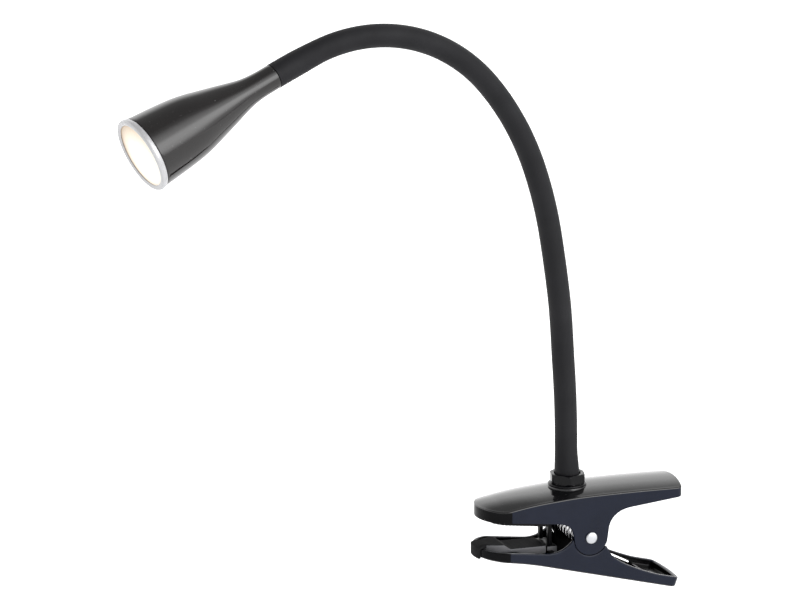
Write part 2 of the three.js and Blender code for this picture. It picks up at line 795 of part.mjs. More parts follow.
// The first length also swells into the collar nut, and its core starts above the ferrule.
function neckFoot() {
  const end = NECK_JOINTS[0] - JOINT_GAP;
  const low = FLANGE_TOP + 2 * GAP;
  const swell = turned(
    [
      [SLEEVE_BORE, low],
      [SLEEVE_END_RADIUS - 0.1, low],
      [SLEEVE_END_RADIUS - 0.1, 8],
      [SLEEVE_RADIUS - 0.05, 19],
      [SLEEVE_BORE, 19],
      [SLEEVE_BORE, low],
    ],
    TUBE_SIDES,
  );
  const bore = turned([[0, low - 1], [SLEEVE_BORE, low - 1], [SLEEVE_BORE, 19.5], [0, 19.5]], 32);
  const sleeve = cut(join(neckTube(low, end, SLEEVE_RADIUS, SLEEVE_BORE, TUBE_SIDES), swell), bore);
  const core = neckTube(FERRULE_LENGTH + GAP, end, CORE_RADIUS, CORE_BORE, 12);
  return [
    piece("neck_sleeve_1", sleeve, "neck_rubber"),
    piece("neck_core_1", core, "steel"),
  ];
}

// ---------------------------------------------------------------- head

// Outer profile of the head as smooth [radius, z] points, inset by the wall where asked.
function headOutline(inset, from, to, count) {
  const curve = new THREE.CatmullRomCurve3(
    HEAD_PROFILE.map(([r, z]) => new THREE.Vector3(r, z, 0)),
  );
  const samples = curve.getPoints(60);
  const radiusAt = (z) => {
    const next = samples.findIndex((p) => p.y >= z - 1e-9);
    if (next <= 0) return samples[0].x;
    const [a, b] = [samples[next - 1], samples[next]];
    return a.x + ((b.x - a.x) * (z - a.y)) / (b.y - a.y);
  };
  return Array.from({ length: count + 1 }, (_, k) => {
    const z = from + ((to - from) * k) / count;
    return [radiusAt(z) - inset, z];
  });
}

function headShell() {
  const outer = headOutline(0, 0, HEAD_LENGTH, 11);
  const inner = headOutline(HEAD_WALL, REBATE_Z, HEAD_SHOULDER, 6);
  const mouth = [
    [REBATE_RADIUS, HEAD_LENGTH],
    [REBATE_RADIUS, REBATE_Z],
  ];
  const bore = FERRULE_RADIUS + GAP;
  return turned([...outer, ...mouth, ...inner, [bore, HEAD_SHOULDER], [bore, 0], outer[0]], 32);
}

function frontRing() {
  const back = HEAD_LENGTH + GAP;
  const spigot = LENS_RADIUS + GAP;
  const lip = LENS_RADIUS - 0.5;
  return turned(
    [
      [spigot, REBATE_Z + 0.4],
      [REBATE_RADIUS - 0.4, REBATE_Z + 0.4],
      [REBATE_RADIUS - 0.4, back],
      [RING_RADIUS - 0.3, back],
      [RING_RADIUS, RING_FRONT - 1.2],
      [RING_RADIUS - 0.7, RING_FRONT],
      [lip, RING_FRONT],
      [lip, RING_FRONT - 0.8],
      [spigot, RING_FRONT - 0.8],
      [spigot, REBATE_Z + 0.4],
    ],
    32,
  );
}

function diffuser() {
  const edgeTop = RING_FRONT - 0.8 - GAP;
  const dome = (radius, crown, count) =>
    Array.from({ length: count + 1 }, (_, k) => {
      const r = radius * (1 - k / count);
      return [r, crown - (crown - edgeTop - 0.2) * (r / radius) ** 2];
    });
  const window = LENS_RADIUS - 0.8;
  const back = dome(window - 0.4, LENS_CROWN - 1.4, 3).reverse();
  return turned(
    [
      [0, back[0][1]],
      ...back.slice(1, -1),
      [window - 1.2, edgeTop - 1.6],
      [LENS_RADIUS, edgeTop - 1.6],
      [LENS_RADIUS, edgeTop],
      [window, edgeTop],
      ...dome(window, LENS_CROWN, 4),
    ],
    32,
  );
}

function reflector() {
  const back = BOARD_Z + BOARD_THICKNESS + GAP;
  const front = RING_FRONT - 0.8 - GAP - 1.6 - GAP;
  return turned(
    [
      [10.3, back],
      [11.4, back],
      [17.6, front - 1.5],
      [18.2, front],
      [17, front],
      [10.3, back],
    ],
    32,
  );
}

function heatSink() {
  const face = BOARD_Z - GAP;
  const plate = turned([
    [3, face - 2.6],
    [12, face - 2.6],
    [12, face - 12],
    [13.4, face - 12],
    [16.2, face - 3],
    [16.2, face],
    [3, face],
    [3, face - 2.6],
  ]);
  return cut(plate, ...screwPlaces().map(([x, y]) => screwHole(x, y)));
}

function screwPlaces() {
  return [
    [SCREW_CIRCLE, 0],
    [-SCREW_CIRCLE, 0],
  ];
}

function screwHole(x, y) {
  const profile = [[0, BOARD_Z - 20], [1.5, BOARD_Z - 20], [1.5, BOARD_Z + 10], [0, BOARD_Z + 10]];
  return turned(profile, 12).translate([x, y, 0]);
}

function ledBoard() {
  const disc = turned([
    [0, BOARD_Z],
    [BOARD_RADIUS, BOARD_Z],
    [BOARD_RADIUS, BOARD_Z + BOARD_THICKNESS],
    [0, BOARD_Z + BOARD_THICKNESS],
  ]);
  return cut(disc, ...screwPlaces().map(([x, y]) => screwHole(x, y)));
}

function ledChip(x, y) {
  const low = BOARD_Z + BOARD_THICKNESS + GAP;
  return box(x - 1.4, x + 1.4, y - 1.4, y + 1.4, low, low + 0.8);
}

function boardScrew(x, y) {
  const seat = BOARD_Z + BOARD_THICKNESS + GAP;
  const profile = [
    [0, BOARD_Z - 6],
    [1.2, BOARD_Z - 5.6],
    [1.2, seat],
    [1.9, seat],
    [1.9, seat + 0.7],
    [1.3, seat + 1.2],
    [0, seat + 1.2],
  ];
  return turned(profile, 12).translate([x, y, 0]);
}

function headFerrule() {
  return turned(tubeProfile(FERRULE_RADIUS, FERRULE_BORE, -FERRULE_LENGTH, 29.5), 24);
}

function headNut() {
  const low = HEAD_SHOULDER + GAP;
  return alongZ(hexagon(7.4, FERRULE_RADIUS + 0.5), low, low + 4, 10);
}

// The sleeve's swollen last length, up to the head.
function sleeveEnd() {
  const start = -28 + JOINT_GAP;
  return turned(
    [
      [SLEEVE_BORE, start],
      [SLEEVE_RADIUS, start],
      [SLEEVE_RADIUS + 0.15, -22],
      [SLEEVE_END_RADIUS - 0.2, -13],
      [SLEEVE_END_RADIUS, -7],
      [SLEEVE_END_RADIUS, -GAP],
      [SLEEVE_BORE, -GAP],
      [SLEEVE_BORE, start],
    ],
    TUBE_SIDES + 8,
  );
}

function headLead() {
  const route = new THREE.CatmullRomCurve3([
    new THREE.Vector3(0, 0, -28 + LEAD_GAP),
    new THREE.Vector3(0, 0, 0),
    new THREE.Vector3(0, 0, 32),
    new THREE.Vector3(1.5, 1.5, 46),
    new THREE.Vector3(0, 0, BOARD_Z - 6),
    new THREE.Vector3(0, 0, BOARD_Z - GAP),
  ]);
  return swept(route, LEAD_RADIUS, 0, 16, 8);
}

function headGroup() {
  const group = new THREE.Group();
  const leds = [[0, 0]];
  for (let k = 0; k < 6; k += 1) {
    const angle = ((k + 0.5) * Math.PI) / 3;
    leds.push([LED_CIRCLE * Math.cos(angle), LED_CIRCLE * Math.sin(angle)]);
  }
  group.add(
    piece("neck_sleeve_6", sleeveEnd(), "neck_rubber"),
    piece(
      "neck_core_6",
      turned(tubeProfile(CORE_RADIUS, CORE_BORE, -28 + JOINT_GAP, -FERRULE_LENGTH - GAP), 16),
      "steel",
    ),
    piece("head_ferrule", headFerrule(), "steel"),
    piece("head_nut", headNut(), "steel"),
    piece("head_shell", headShell(), "gloss_black"),
    piece("head_lead", headLead(), "lead_black"),
    piece("heat_sink", heatSink(), "aluminium"),
    piece("led_board", ledBoard(), "board_white"),
    piece("reflector", reflector(), "white_plastic"),
    piece("diffuser", diffuser(), "opal"),
    piece("front_ring", frontRing(), "satin_silver"),
    ...leds.map(([x, y], k) => piece(`led_${k + 1}`, ledChip(x, y), "led_yellow")),
    ...screwPlaces().map(([x, y], k) => piece(`board_screw_${k + 1}`, boardScrew(x, y), "steel")),
  );
  const bend = NECK_STRETCHES.reduce((sum, [, degrees]) => sum + degrees, 0);
  group.position.copy(neckPoint(NECK_LENGTH));
  group.rotation.y = (-bend * Math.PI) / 180;
  return group;
}

// ---------------------------------------------------------------- assembly

function clampGroup() {
  const group = new THREE.Group();
  group.add(
    piece("upper_arm", upperArm(), "gloss_black"),
    piece("lower_arm", lowerArm(), "gloss_black"),
    piece("upper_pad", upperPad(), "pad_rubber"),
    piece("lower_pad", lowerPad(), "pad_rubber"),
    piece("pivot_pin", pivotPin(), "zinc"),
    piece("pin_cap", pinCap(), "zinc"),
    piece("torsion_spring", torsionSpring(), "spring_steel"),
    piece("collar_flange", collarFlange(), "gloss_black"),
    piece("collar_nut", collarNut(), "gloss_black"),
    piece("neck_ferrule", neckFerrule(), "steel"),
    piece("lock_washer", lockWasher(), "steel"),
    piece("lock_nut", lockNut(), "steel"),
    piece("inlet_bush", inletBush(), "pad_rubber"),
    piece("base_lead", baseLead(), "lead_black"),
    piece("lead_clamp", leadClamp(), "white_plastic"),
    ...LEAD_CLAMP_SCREWS.map((place, k) =>
      piece(`lead_clamp_screw_${k + 1}`, leadClampScrew(place), "steel"),
    ),
  );
  return group;
}

function neckGroup() {
  const group = new THREE.Group();
  group.add(...neckFoot());
  for (let k = 1; k < NECK_JOINTS.length; k += 1) {
    group.add(...neckLength(k + 1, NECK_JOINTS[k - 1], NECK_JOINTS[k]));
  }
  group.add(headGroup());
  group.rotation.z = (NECK_YAW * Math.PI) / 180;
  return group;
}

const lamp = new THREE.Group();
lamp.add(clampGroup(), neckGroup());
lamp.position.set(
  -(UPPER_PAD_FRONT.x + UPPER_PAD_BACK.x) / 2,
  0,
  -(UPPER_PAD_FRONT.z + UPPER_PAD_BACK.z) / 2,
);

export default lamp;
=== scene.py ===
"""Clip-on reading lamp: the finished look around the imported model."""

import json
import math

import bmesh
import bpy
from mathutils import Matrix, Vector


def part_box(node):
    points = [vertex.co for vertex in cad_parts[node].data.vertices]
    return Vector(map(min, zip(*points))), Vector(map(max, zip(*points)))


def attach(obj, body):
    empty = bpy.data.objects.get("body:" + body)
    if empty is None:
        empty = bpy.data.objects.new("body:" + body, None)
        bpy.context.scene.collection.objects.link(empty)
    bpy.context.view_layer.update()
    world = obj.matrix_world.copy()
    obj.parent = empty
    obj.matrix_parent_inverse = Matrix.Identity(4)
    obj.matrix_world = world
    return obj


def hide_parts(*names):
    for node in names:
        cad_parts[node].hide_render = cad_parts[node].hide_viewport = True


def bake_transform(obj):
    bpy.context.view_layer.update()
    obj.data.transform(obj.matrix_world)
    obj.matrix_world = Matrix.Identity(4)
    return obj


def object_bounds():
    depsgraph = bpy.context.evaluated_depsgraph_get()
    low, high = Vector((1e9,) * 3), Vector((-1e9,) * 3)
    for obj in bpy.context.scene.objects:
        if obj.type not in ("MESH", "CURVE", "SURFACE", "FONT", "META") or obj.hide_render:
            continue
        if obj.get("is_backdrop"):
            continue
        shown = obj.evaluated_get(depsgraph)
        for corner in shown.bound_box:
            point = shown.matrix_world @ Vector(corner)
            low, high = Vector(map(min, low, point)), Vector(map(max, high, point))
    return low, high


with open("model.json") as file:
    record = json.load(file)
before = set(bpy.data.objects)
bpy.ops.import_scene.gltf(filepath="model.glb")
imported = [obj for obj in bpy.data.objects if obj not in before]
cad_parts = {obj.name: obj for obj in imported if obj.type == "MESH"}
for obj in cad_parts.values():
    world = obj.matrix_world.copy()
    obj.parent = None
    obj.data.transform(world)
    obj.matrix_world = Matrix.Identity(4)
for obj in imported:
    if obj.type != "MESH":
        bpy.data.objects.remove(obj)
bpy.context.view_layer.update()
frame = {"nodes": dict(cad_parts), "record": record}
MM = 0.001

# ------------------------------------------------------------------ where things are
# Millimetre coordinates below are measured from FOOT, the gooseneck's foot on the upper arm.

FLANGE_LOW, FLANGE_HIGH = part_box("collar_flange")
FOOT = Vector(
    ((FLANGE_LOW.x + FLANGE_HIGH.x) / 2, (FLANGE_LOW.y + FLANGE_HIGH.y) / 2, FLANGE_LOW.z - 0.0003)
)
JOINTS = {j["name"]: j for j in frame["record"]["behaviour"]["joints"]}
PIVOT = (Vector(JOINTS["jaw_hinge"]["pos_m"]) - FOOT) / MM

HALF_WIDTH = 19.5
WALL = 2.0
CROWN = 3.2
CROWN_RADIUS = (HALF_WIDTH**2 + CROWN**2) / (2 * CROWN)
UPPER_NOSE_X, UPPER_TAIL_X = -56.5, 68.0
LOWER_NOSE_X, LOWER_TAIL_X = -57.3, 64.8
LOWER_TAIL_LEAN = 0.35
NOSE_LENGTH = 15.0
EAR_RADIUS = 10.5
STOP_X = -14.7
STOP_FOOT = -33.6
STOP_INNER, STOP_OUTER = 5.0, 9.2
STOP_REST_TOP = -33.9
TAIL_CORNER = 3.5
UPPER_PAD_HALF, LOWER_PAD_HALF = 14.4, 9.4
UPPER_PAD_FRONT, UPPER_PAD_BACK = (-51, -16.5), (-16.2, -20.7)
LOWER_PAD_FRONT, LOWER_PAD_BACK = (-53, -33.1), (-16.6, -33.3)
PAD_DEPTH = 5
LOWER_PAD_DEPTH = 2.2
YAW = math.radians(11.5)
ARCH_WAY = Vector((math.cos(YAW), math.sin(YAW), 0))  # level, in the arch's plane
ARCH_SIDE = Vector((math.sin(YAW), -math.cos(YAW), 0))  # square to the arch's plane
NECK = [(20, 0), (40, 4), (92, 7), (41, 10), (59, 21), (107, 60), (15, 9), (28, 3)]
NECK_LENGTH = sum(length for length, turn in NECK)
NECK_JOINTS = [50, 112, 230, 325, NECK_LENGTH - 28]
SLEEVE = 6.6
WIRE_RADIUS = 0.9
COIL_RADIUS, COIL_PITCH, COIL_TURNS = 8.0, 4.4, 5.5
UPPER_RISE, LOWER_RISE = math.radians(35), math.radians(27)
UPPER_LEG, LOWER_LEG = 28.5, 45.0
PIN_RADIUS, PIN_HEAD_RADIUS = 2.0, 3.45
NUT_FLAT, NUT_CORNER, NUT_BORE = 9.75, 10.9, 7.8
NUT_LOW, NUT_TOP = 1.5, 7.3
NUT_SPIN = math.radians(16)
RING_FRONT = 89
LENS_RADIUS = 17.75


# ------------------------------------------------------------------ materials


class Nodes:
    """A material's node tree, with short calls to add nodes to it."""

    def __init__(self, name):
        self.material = bpy.data.materials.new(name)
        self.material.use_nodes = True
        self.tree = self.material.node_tree
        self.shader = self.tree.nodes["Principled BSDF"]
        self.place = self.add("ShaderNodeTexCoord").outputs["Object"]

    def add(self, kind, **values):
        """A new node; the values set its sockets by name, or else its own settings."""
        node = self.tree.nodes.new(kind)
        for key, value in values.items():
            if key in node.inputs:
                node.inputs[key].default_value = value
            else:
                setattr(node, key, value)
        return node

    def link(self, a, b):
        self.tree.links.new(a, b)

    def noise(self, scale, detail=3.0, stretch=(1, 1, 1)):
        mapping = self.add("ShaderNodeMapping")
        mapping.inputs["Scale"].default_value = stretch
        self.link(self.place, mapping.inputs["Vector"])
        node = self.add("ShaderNodeTexNoise", Scale=scale, Detail=detail)
        self.link(mapping.outputs["Vector"], node.inputs["Vector"])
        return node.outputs["Fac"]

    def ramp(self, value, stops):
        node = self.add("ShaderNodeValToRGB")
        while len(node.color_ramp.elements) < len(stops):
            node.color_ramp.elements.new(0.5)
        for element, (position, shade) in zip(node.color_ramp.elements, stops):
            element.position = position
            element.color = (*shade, 1) if isinstance(shade, tuple) else (shade, shade, shade, 1)
        self.link(value, node.inputs["Fac"])
        return node.outputs["Color"]

    def bump(self, value, strength, distance, after=None):
        node = self.add("ShaderNodeBump", Strength=strength, Distance=distance)
        self.link(value, node.inputs["Height"])
        if after is not None:
            self.link(after, node.inputs["Normal"])
        return node.outputs["Normal"]


def gloss_plastic(name, colour, rough, wear=1.0, level=0.5):
    """Polished moulding: a slight orange peel, wiping marks, fine scratches and a little dust."""
    m = Nodes(name)
    m.shader.inputs["Specular IOR Level"].default_value = level
    dust = m.ramp(m.noise(900, 2), [(0.0, 0.0), (0.70, 0.0), (0.82, 1.0)])
    mix = m.add("ShaderNodeMix", data_type="RGBA")
    mix.inputs["A"].default_value = (*colour, 1)
    mix.inputs["B"].default_value = (0.10 * wear, 0.10 * wear, 0.10 * wear, 1)
    m.link(dust, mix.inputs["Factor"])
    m.link(mix.outputs["Result"], m.shader.inputs["Base Color"])
    smear = m.ramp(m.noise(35, 4), [(0.35, rough), (0.7, rough + 0.07 * wear)])
    m.link(smear, m.shader.inputs["Roughness"])
    peel = m.bump(m.noise(260, 2), 0.05, 0.0004)
    scratch = m.noise(120, 2, (0.4, 18, 9))
    fine = m.ramp(scratch, [(0.0, 0.5), (0.30, 0.5), (0.33, 0.35), (0.36, 0.5)])
    m.link(m.bump(fine, 0.06 * wear, 0.0002, peel), m.shader.inputs["Normal"])
    return m.material


def satin_plastic(name, colour, rough, grain=420.0, level=0.5):
    """Moulding with an even spark-eroded grain."""
    m = Nodes(name)
    m.shader.inputs["Specular IOR Level"].default_value = level
    tone = m.ramp(m.noise(70, 4), [(0.3, colour), (0.7, tuple(c * 1.25 + 0.001 for c in colour))])
    m.link(tone, m.shader.inputs["Base Color"])
    sheen = m.ramp(m.noise(50, 3), [(0.3, rough), (0.75, rough + 0.08)])
    m.link(sheen, m.shader.inputs["Roughness"])
    m.link(m.bump(m.noise(grain, 2), 0.12, 0.0003), m.shader.inputs["Normal"])
    return m.material


def rubber(name, colour, rough, grain, level=0.3):
    """Soft rubber: powdery bloom, handled patches and a fine pebble."""
    m = Nodes(name)
    m.shader.inputs["Specular IOR Level"].default_value = level
    bloom = m.ramp(m.noise(45, 5), [(0.3, colour), (0.75, tuple(c * 1.4 + 0.0015 for c in colour))])
    m.link(bloom, m.shader.inputs["Base Color"])
    m.link(m.ramp(m.noise(60, 3), [(0.3, rough), (0.7, rough + 0.12)]), m.shader.inputs["Roughness"])
    coarse = m.bump(m.noise(140, 3), 0.12, 0.0006)
    m.link(m.bump(m.noise(grain, 2), 0.25, 0.0003, coarse), m.shader.inputs["Normal"])
    return m.material


def metal(name, colour, rough, stretch=(1, 1, 1), scale=300.0, strength=0.1):
    """Bare or plated metal with drawn or tumbled marks and duller patches."""
    m = Nodes(name)
    m.shader.inputs["Metallic"].default_value = 1.0
    tone = m.ramp(m.noise(90, 4), [(0.3, tuple(c * 0.82 for c in colour)), (0.65, colour)])
    m.link(tone, m.shader.inputs["Base Color"])
    m.link(m.ramp(m.noise(120, 4), [(0.3, rough), (0.75, rough + 0.15)]), m.shader.inputs["Roughness"])
    m.link(m.bump(m.noise(scale, 3, stretch), strength, 0.0002), m.shader.inputs["Normal"])
    return m.material


def satin_silver(name):
    """Silver paint with a fine metal flake."""
    m = Nodes(name)
    m.shader.inputs["Metallic"].default_value = 0.35
    flake = m.ramp(m.noise(2500, 1), [(0.3, (0.36, 0.36, 0.37)), (0.7, (0.45, 0.45, 0.46))])
    m.link(flake, m.shader.inputs["Base Color"])
    m.link(m.ramp(m.noise(160, 3), [(0.3, 0.26), (0.7, 0.36)]), m.shader.inputs["Roughness"])
    m.link(m.bump(m.noise(1500, 2), 0.05, 0.0001), m.shader.inputs["Normal"])
    return m.material


def lit_opal(name, centre, radius, strength):
    """Opal lens lit from behind: bright at centre, warmer away from it."""
    m = Nodes(name)
    m.shader.inputs["Base Color"].default_value = (0.14, 0.13, 0.12, 1)
    m.link(m.ramp(m.noise(80, 3), [(0.3, 0.32), (0.7, 0.42)]), m.shader.inputs["Roughness"])
    away = m.add("ShaderNodeVectorMath", operation="DISTANCE")
    m.link(m.place, away.inputs[0])
    away.inputs[1].default_value = centre
    share = m.add("ShaderNodeMath", operation="DIVIDE")
    m.link(away.outputs["Value"], share.inputs[0])
    share.inputs[1].default_value = radius
    warm = m.ramp(
        share.outputs["Value"],
        [
            (0.0, (1.0, 0.98, 0.94)),
            (0.55, (1.0, 0.95, 0.86)),
            (0.8, (0.86, 0.72, 0.54)),
            (1.0, (0.50, 0.36, 0.22)),
        ],
    )
    grain = m.ramp(m.noise(500, 2), [(0.3, 0.94), (0.7, 1.0)])
    mix = m.add("ShaderNodeMix", data_type="RGBA", blend_type="MULTIPLY")
    mix.inputs["Factor"].default_value = 1.0
    m.link(warm, mix.inputs["A"])
    m.link(grain, mix.inputs["B"])
    m.link(mix.outputs["Result"], m.shader.inputs["Emission Color"])
    m.shader.inputs["Emission Strength"].default_value = strength
    return m.material


GLOSS = gloss_plastic("gloss_black", (0.0040, 0.0040, 0.0045), 0.04)
SIDE = satin_plastic("satin_black", (0.002, 0.0038, 0.011), 0.17, level=0.2)
# Painted shade: a darker, less reflective copy of the side black for the arms' noses.
NOSE_PAINTED_SHADE = satin_plastic("nose_black_painted_shade", (0.0026, 0.0026, 0.0030), 0.08, level=0.05)
INNER = satin_plastic("inner_black", (0.0022, 0.0022, 0.0026), 0.32, level=0.07)
INSIDE = satin_plastic("inside_black", (0.0014, 0.0014, 0.0016), 0.14, level=0.10)
# Painted shade: a darker, less reflective copy of the gloss black for the collar nut and its ring.
COLLAR_PAINTED_SHADE = gloss_plastic("collar_black_painted_shade", (0.0018, 0.0018, 0.0024), 0.03, 0.5, 0.15)
NECK_RUBBER = rubber("neck_rubber", (0.0060, 0.0060, 0.0072), 0.6, 900, 0.17)
PAD_RUBBER = rubber("pad_rubber", (0.0105, 0.0105, 0.011), 0.5, 600, 0.01)
# Painted light: a much paler copy of the pad rubber, put on the sides of the lower pad and platform
# for the light they catch.
PAD_SIDE_PAINTED_LIGHT = rubber("pad_side_painted_light", (0.075, 0.075, 0.08), 0.5, 600, 0.4)
LEAD = rubber("lead_rubber", (0.014, 0.014, 0.015), 0.5, 700)
STEEL = metal("steel", (0.56, 0.57, 0.58), 0.3, (1, 1, 12))
ZINC = metal("zinc", (0.50, 0.51, 0.53), 0.34, (1, 1, 1), 900, 0.25)
WIRE = metal("spring_wire", (0.94, 0.94, 0.95), 0.07, (1, 1, 1), 500, 0.05)
ALUMINIUM = metal("aluminium", (0.62, 0.63, 0.65), 0.38, (14, 1, 1))
SILVER = satin_silver("satin_silver")
WHITE = satin_plastic("white_plastic", (0.72, 0.72, 0.70), 0.4)
BOARD = satin_plastic("board_white", (0.70, 0.71, 0.69), 0.45, 900)
PHOSPHOR = satin_plastic("led_yellow", (0.72, 0.42, 0.06), 0.4, 1400)


# ------------------------------------------------------------------ mesh building


def at(x, y, z):
    return FOOT + Vector((x, y, z)) * MM


def new_object(name, bm, materials, sharp=38.0):
    """Turns a bmesh in metres into a smooth object with sharp edges kept."""
    bmesh.ops.remove_doubles(bm, verts=bm.verts, dist=1e-6)
    bmesh.ops.recalc_face_normals(bm, faces=bm.faces)
    limit = math.radians(sharp)
    for f in bm.faces:
        f.smooth = True
    for e in bm.edges:
        e.smooth = len(e.link_faces) == 2 and e.calc_face_angle(0) < limit
    mesh = bpy.data.meshes.new(name)
    bm.to_mesh(mesh)
    bm.free()
    for material in materials:
        mesh.materials.append(material)
    obj = bpy.data.objects.new(name, mesh)
    bpy.context.collection.objects.link(obj)
    return obj


def grid(bm, rows, closed=False, material=0, cap=False):
    """Faces between successive rows of points; closed joins each row's last point to its first."""
    verts = [[bm.verts.new(p) for p in row] for row in rows]
    for a, b in zip(verts, verts[1:]):
        count = len(a)
        for k in range(count if closed else count - 1):
            corners = [a[k], a[(k + 1) % count], b[(k + 1) % count], b[k]]
            face = bm.faces.new(corners)
            face.material_index = material
    if cap:
        for row in (verts[0], verts[-1]):
            bm.faces.new(row).material_index = material
    return verts


def quadratic(a, c, b, count):
    """Points on the curve from a to b that leans towards c; the first is left out."""
    made = []
    for k in range(1, count + 1):
        t = k / count
        made.append(
            tuple(p * (1 - t) ** 2 + 2 * q * t * (1 - t) + r * t * t for p, q, r in zip(a, c, b))
        )
    return made


def height_at(line, x):
    """Height of a polyline of (x, z) points at x."""
    if x <= line[0][0]:
        return line[0][1]
    for (x0, z0), (x1, z1) in zip(line, line[1:]):
        if x <= x1:
            return z0 + (z1 - z0) * (x - x0) / max(x1 - x0, 1e-9)
    return line[-1][1]


def catmull(points, x):
    """Smooth height at x through (x, z) points in rising x."""
    k = max(1, min(len(points) - 3, sum(p[0] < x for p in points) - 1))
    (x0, z0), (x1, z1), (x2, z2), (x3, z3) = points[k - 1 : k + 3]
    t = min(max((x - x1) / (x2 - x1), 0), 1)
    m1 = (z2 - z0) / (x2 - x0) * (x2 - x1)
    m2 = (z3 - z1) / (x3 - x1) * (x2 - x1)
    return (
        (2 * t**3 - 3 * t**2 + 1) * z1
        + (t**3 - 2 * t**2 + t) * m1
        + (3 * t**2 - 2 * t**3) * z2
        + (t**3 - t**2) * m2
    )


def spline(points):
    """Natural cubic spline through (t, r) points, as a function of t."""
    n = len(points)
    t = [p[0] for p in points]
    r = [p[1] for p in points]
    h = [t[i + 1] - t[i] for i in range(n - 1)]
    low, mid, high, rhs = [0.0] * n, [1.0] * n, [0.0] * n, [0.0] * n
    for i in range(1, n - 1):
        low[i], mid[i], high[i] = h[i - 1], 2 * (h[i - 1] + h[i]), h[i]
        rhs[i] = 6 * ((r[i + 1] - r[i]) / h[i] - (r[i] - r[i - 1]) / h[i - 1])
    for i in range(1, n):
        w = low[i] / mid[i - 1]
        mid[i] -= w * high[i - 1]
        rhs[i] -= w * rhs[i - 1]
    m = [0.0] * n
    for i in range(n - 2, 0, -1):
        m[i] = (rhs[i] - high[i] * m[i + 1]) / mid[i]

    def value(x):
        i = max(0, min(n - 2, sum(a <= x for a in t) - 1))
        a, b = (t[i + 1] - x) / h[i], (x - t[i]) / h[i]
        bend = ((a**3 - a) * m[i] + (b**3 - b) * m[i + 1]) * h[i] ** 2 / 6
        return a * r[i] + b * r[i + 1] + bend

    return value


def turned(name, profile, origin, axis, materials, sides=64, sharp=38.0, outline=None, spin=0.0):
    """A profile of (radius, height) turned about an axis; outline(angle, point) sets other radii."""
    axis = Vector(axis).normalized()
    side = axis.orthogonal().normalized() if abs(axis.z) < 0.99 else Vector((1, 0, 0))
    other = axis.cross(side)
    bm = bmesh.new()
    rows = []
    for k in range(sides):
        angle = 2 * math.pi * k / sides + spin
        out = side * math.cos(angle) + other * math.sin(angle)
        row = []
        for point in profile:
            r = outline(angle, point) if outline else point[0]
            row.append(origin + (out * r + axis * point[1]) * MM)
        rows.append(row)
    rows.append(rows[0])
    grid(bm, rows, closed=profile[0][0] > 1e-6 or profile[-1][0] > 1e-6)
    return new_object(name, bm, materials, sharp)


def rounded(profile, radius, steps=3):
    """A closed profile with its corners cut to arcs."""
    made = []
    count = len(profile)
    for k in range(count):
        p = Vector(profile[k][:2])
        a = Vector(profile[k - 1][:2]) - p
        b = Vector(profile[(k + 1) % count][:2]) - p
        reach = min(radius, a.length * 0.45, b.length * 0.45)
        if p.x < 1e-6 or reach < 1e-4:
            made.append((p.x, p.y))
            continue
        start, end = p + a.normalized() * reach, p + b.normalized() * reach
        for i in range(steps + 1):
            t = i / steps
            q = start * (1 - t) ** 2 + p * (2 * t * (1 - t)) + end * t * t
            made.append((q.x, q.y))
    return made


def block(name, low, high, materials, bevel=0.35):
    """A moulded rib or bar between two corners, with softened edges."""
    bm = bmesh.new()
    bmesh.ops.create_cube(bm, size=1)
    for v in bm.verts:
        v.co = Vector([(a + b) / 2 + c * (b - a) for a, b, c in zip(low, high, v.co)])
    bmesh.ops.bevel(bm, geom=list(bm.edges), offset=bevel, segments=2, affect="EDGES", profile=0.5)
    for v in bm.verts:
        v.co = at(*v.co)
    return new_object(name, bm, materials)


# ------------------------------------------------------------------ the two arms


def half_outline(nose_x, tail_x, edge):
    """Half the plan outline, nose to tail, as (x, half width); edge gives extra stations in x."""
    front = nose_x + NOSE_LENGTH
    back = tail_x - 3
    nose_steps = 26
    made = []
    for k in range(nose_steps + 1):
        a = math.pi / 2 * (1 - k / nose_steps)
        made.append((front - NOSE_LENGTH * math.sin(a), HALF_WIDTH * math.cos(a)))
    wanted = sorted([x for x, z in edge] + [front + 2.4 * k for k in range(60)])
    for x in wanted:
        if made[-1][0] + 0.45 < x < back - TAIL_CORNER - 0.4:
            made.append((x, HALF_WIDTH))
    corner = (back - TAIL_CORNER, HALF_WIDTH)
    made.append(corner)
    end = (back + 0.8, HALF_WIDTH - TAIL_CORNER)
    made += quadratic(corner, (back, HALF_WIDTH), end, 9)
    made += quadratic(end, (back + 3.6, 0), (end[0], -end[1]), 20)[:9]
    made.append((back + 2.2, 0.0))
    return made


def inset(outline, depth):
    """The half outline moved inwards by depth, keeping its number of points."""
    made = []
    for k, (x, w) in enumerate(outline):
        x0, w0 = outline[k - 1] if k else (x, w - 1)
        x1, w1 = outline[k + 1] if k + 1 < len(outline) else (x, w - 1)
        if k == 0:
            x0, w0 = outline[1][0], -outline[1][1]
        if k + 1 == len(outline):
            x1, w1 = outline[k - 1][0], -outline[k - 1][1]
        tangent = Vector((x1 - x0, w1 - w0)).normalized()
        made.append((x + tangent.y * depth, max(w - tangent.x * depth, 0.0)))
    return made


def around(half):
    """The full outline from the nose tip along the near side, the tail, and back along the far."""
    near = [(x, -w) for x, w in half]
    far = [(x, w) for x, w in half]
    return near + far[::-1][1:-1]


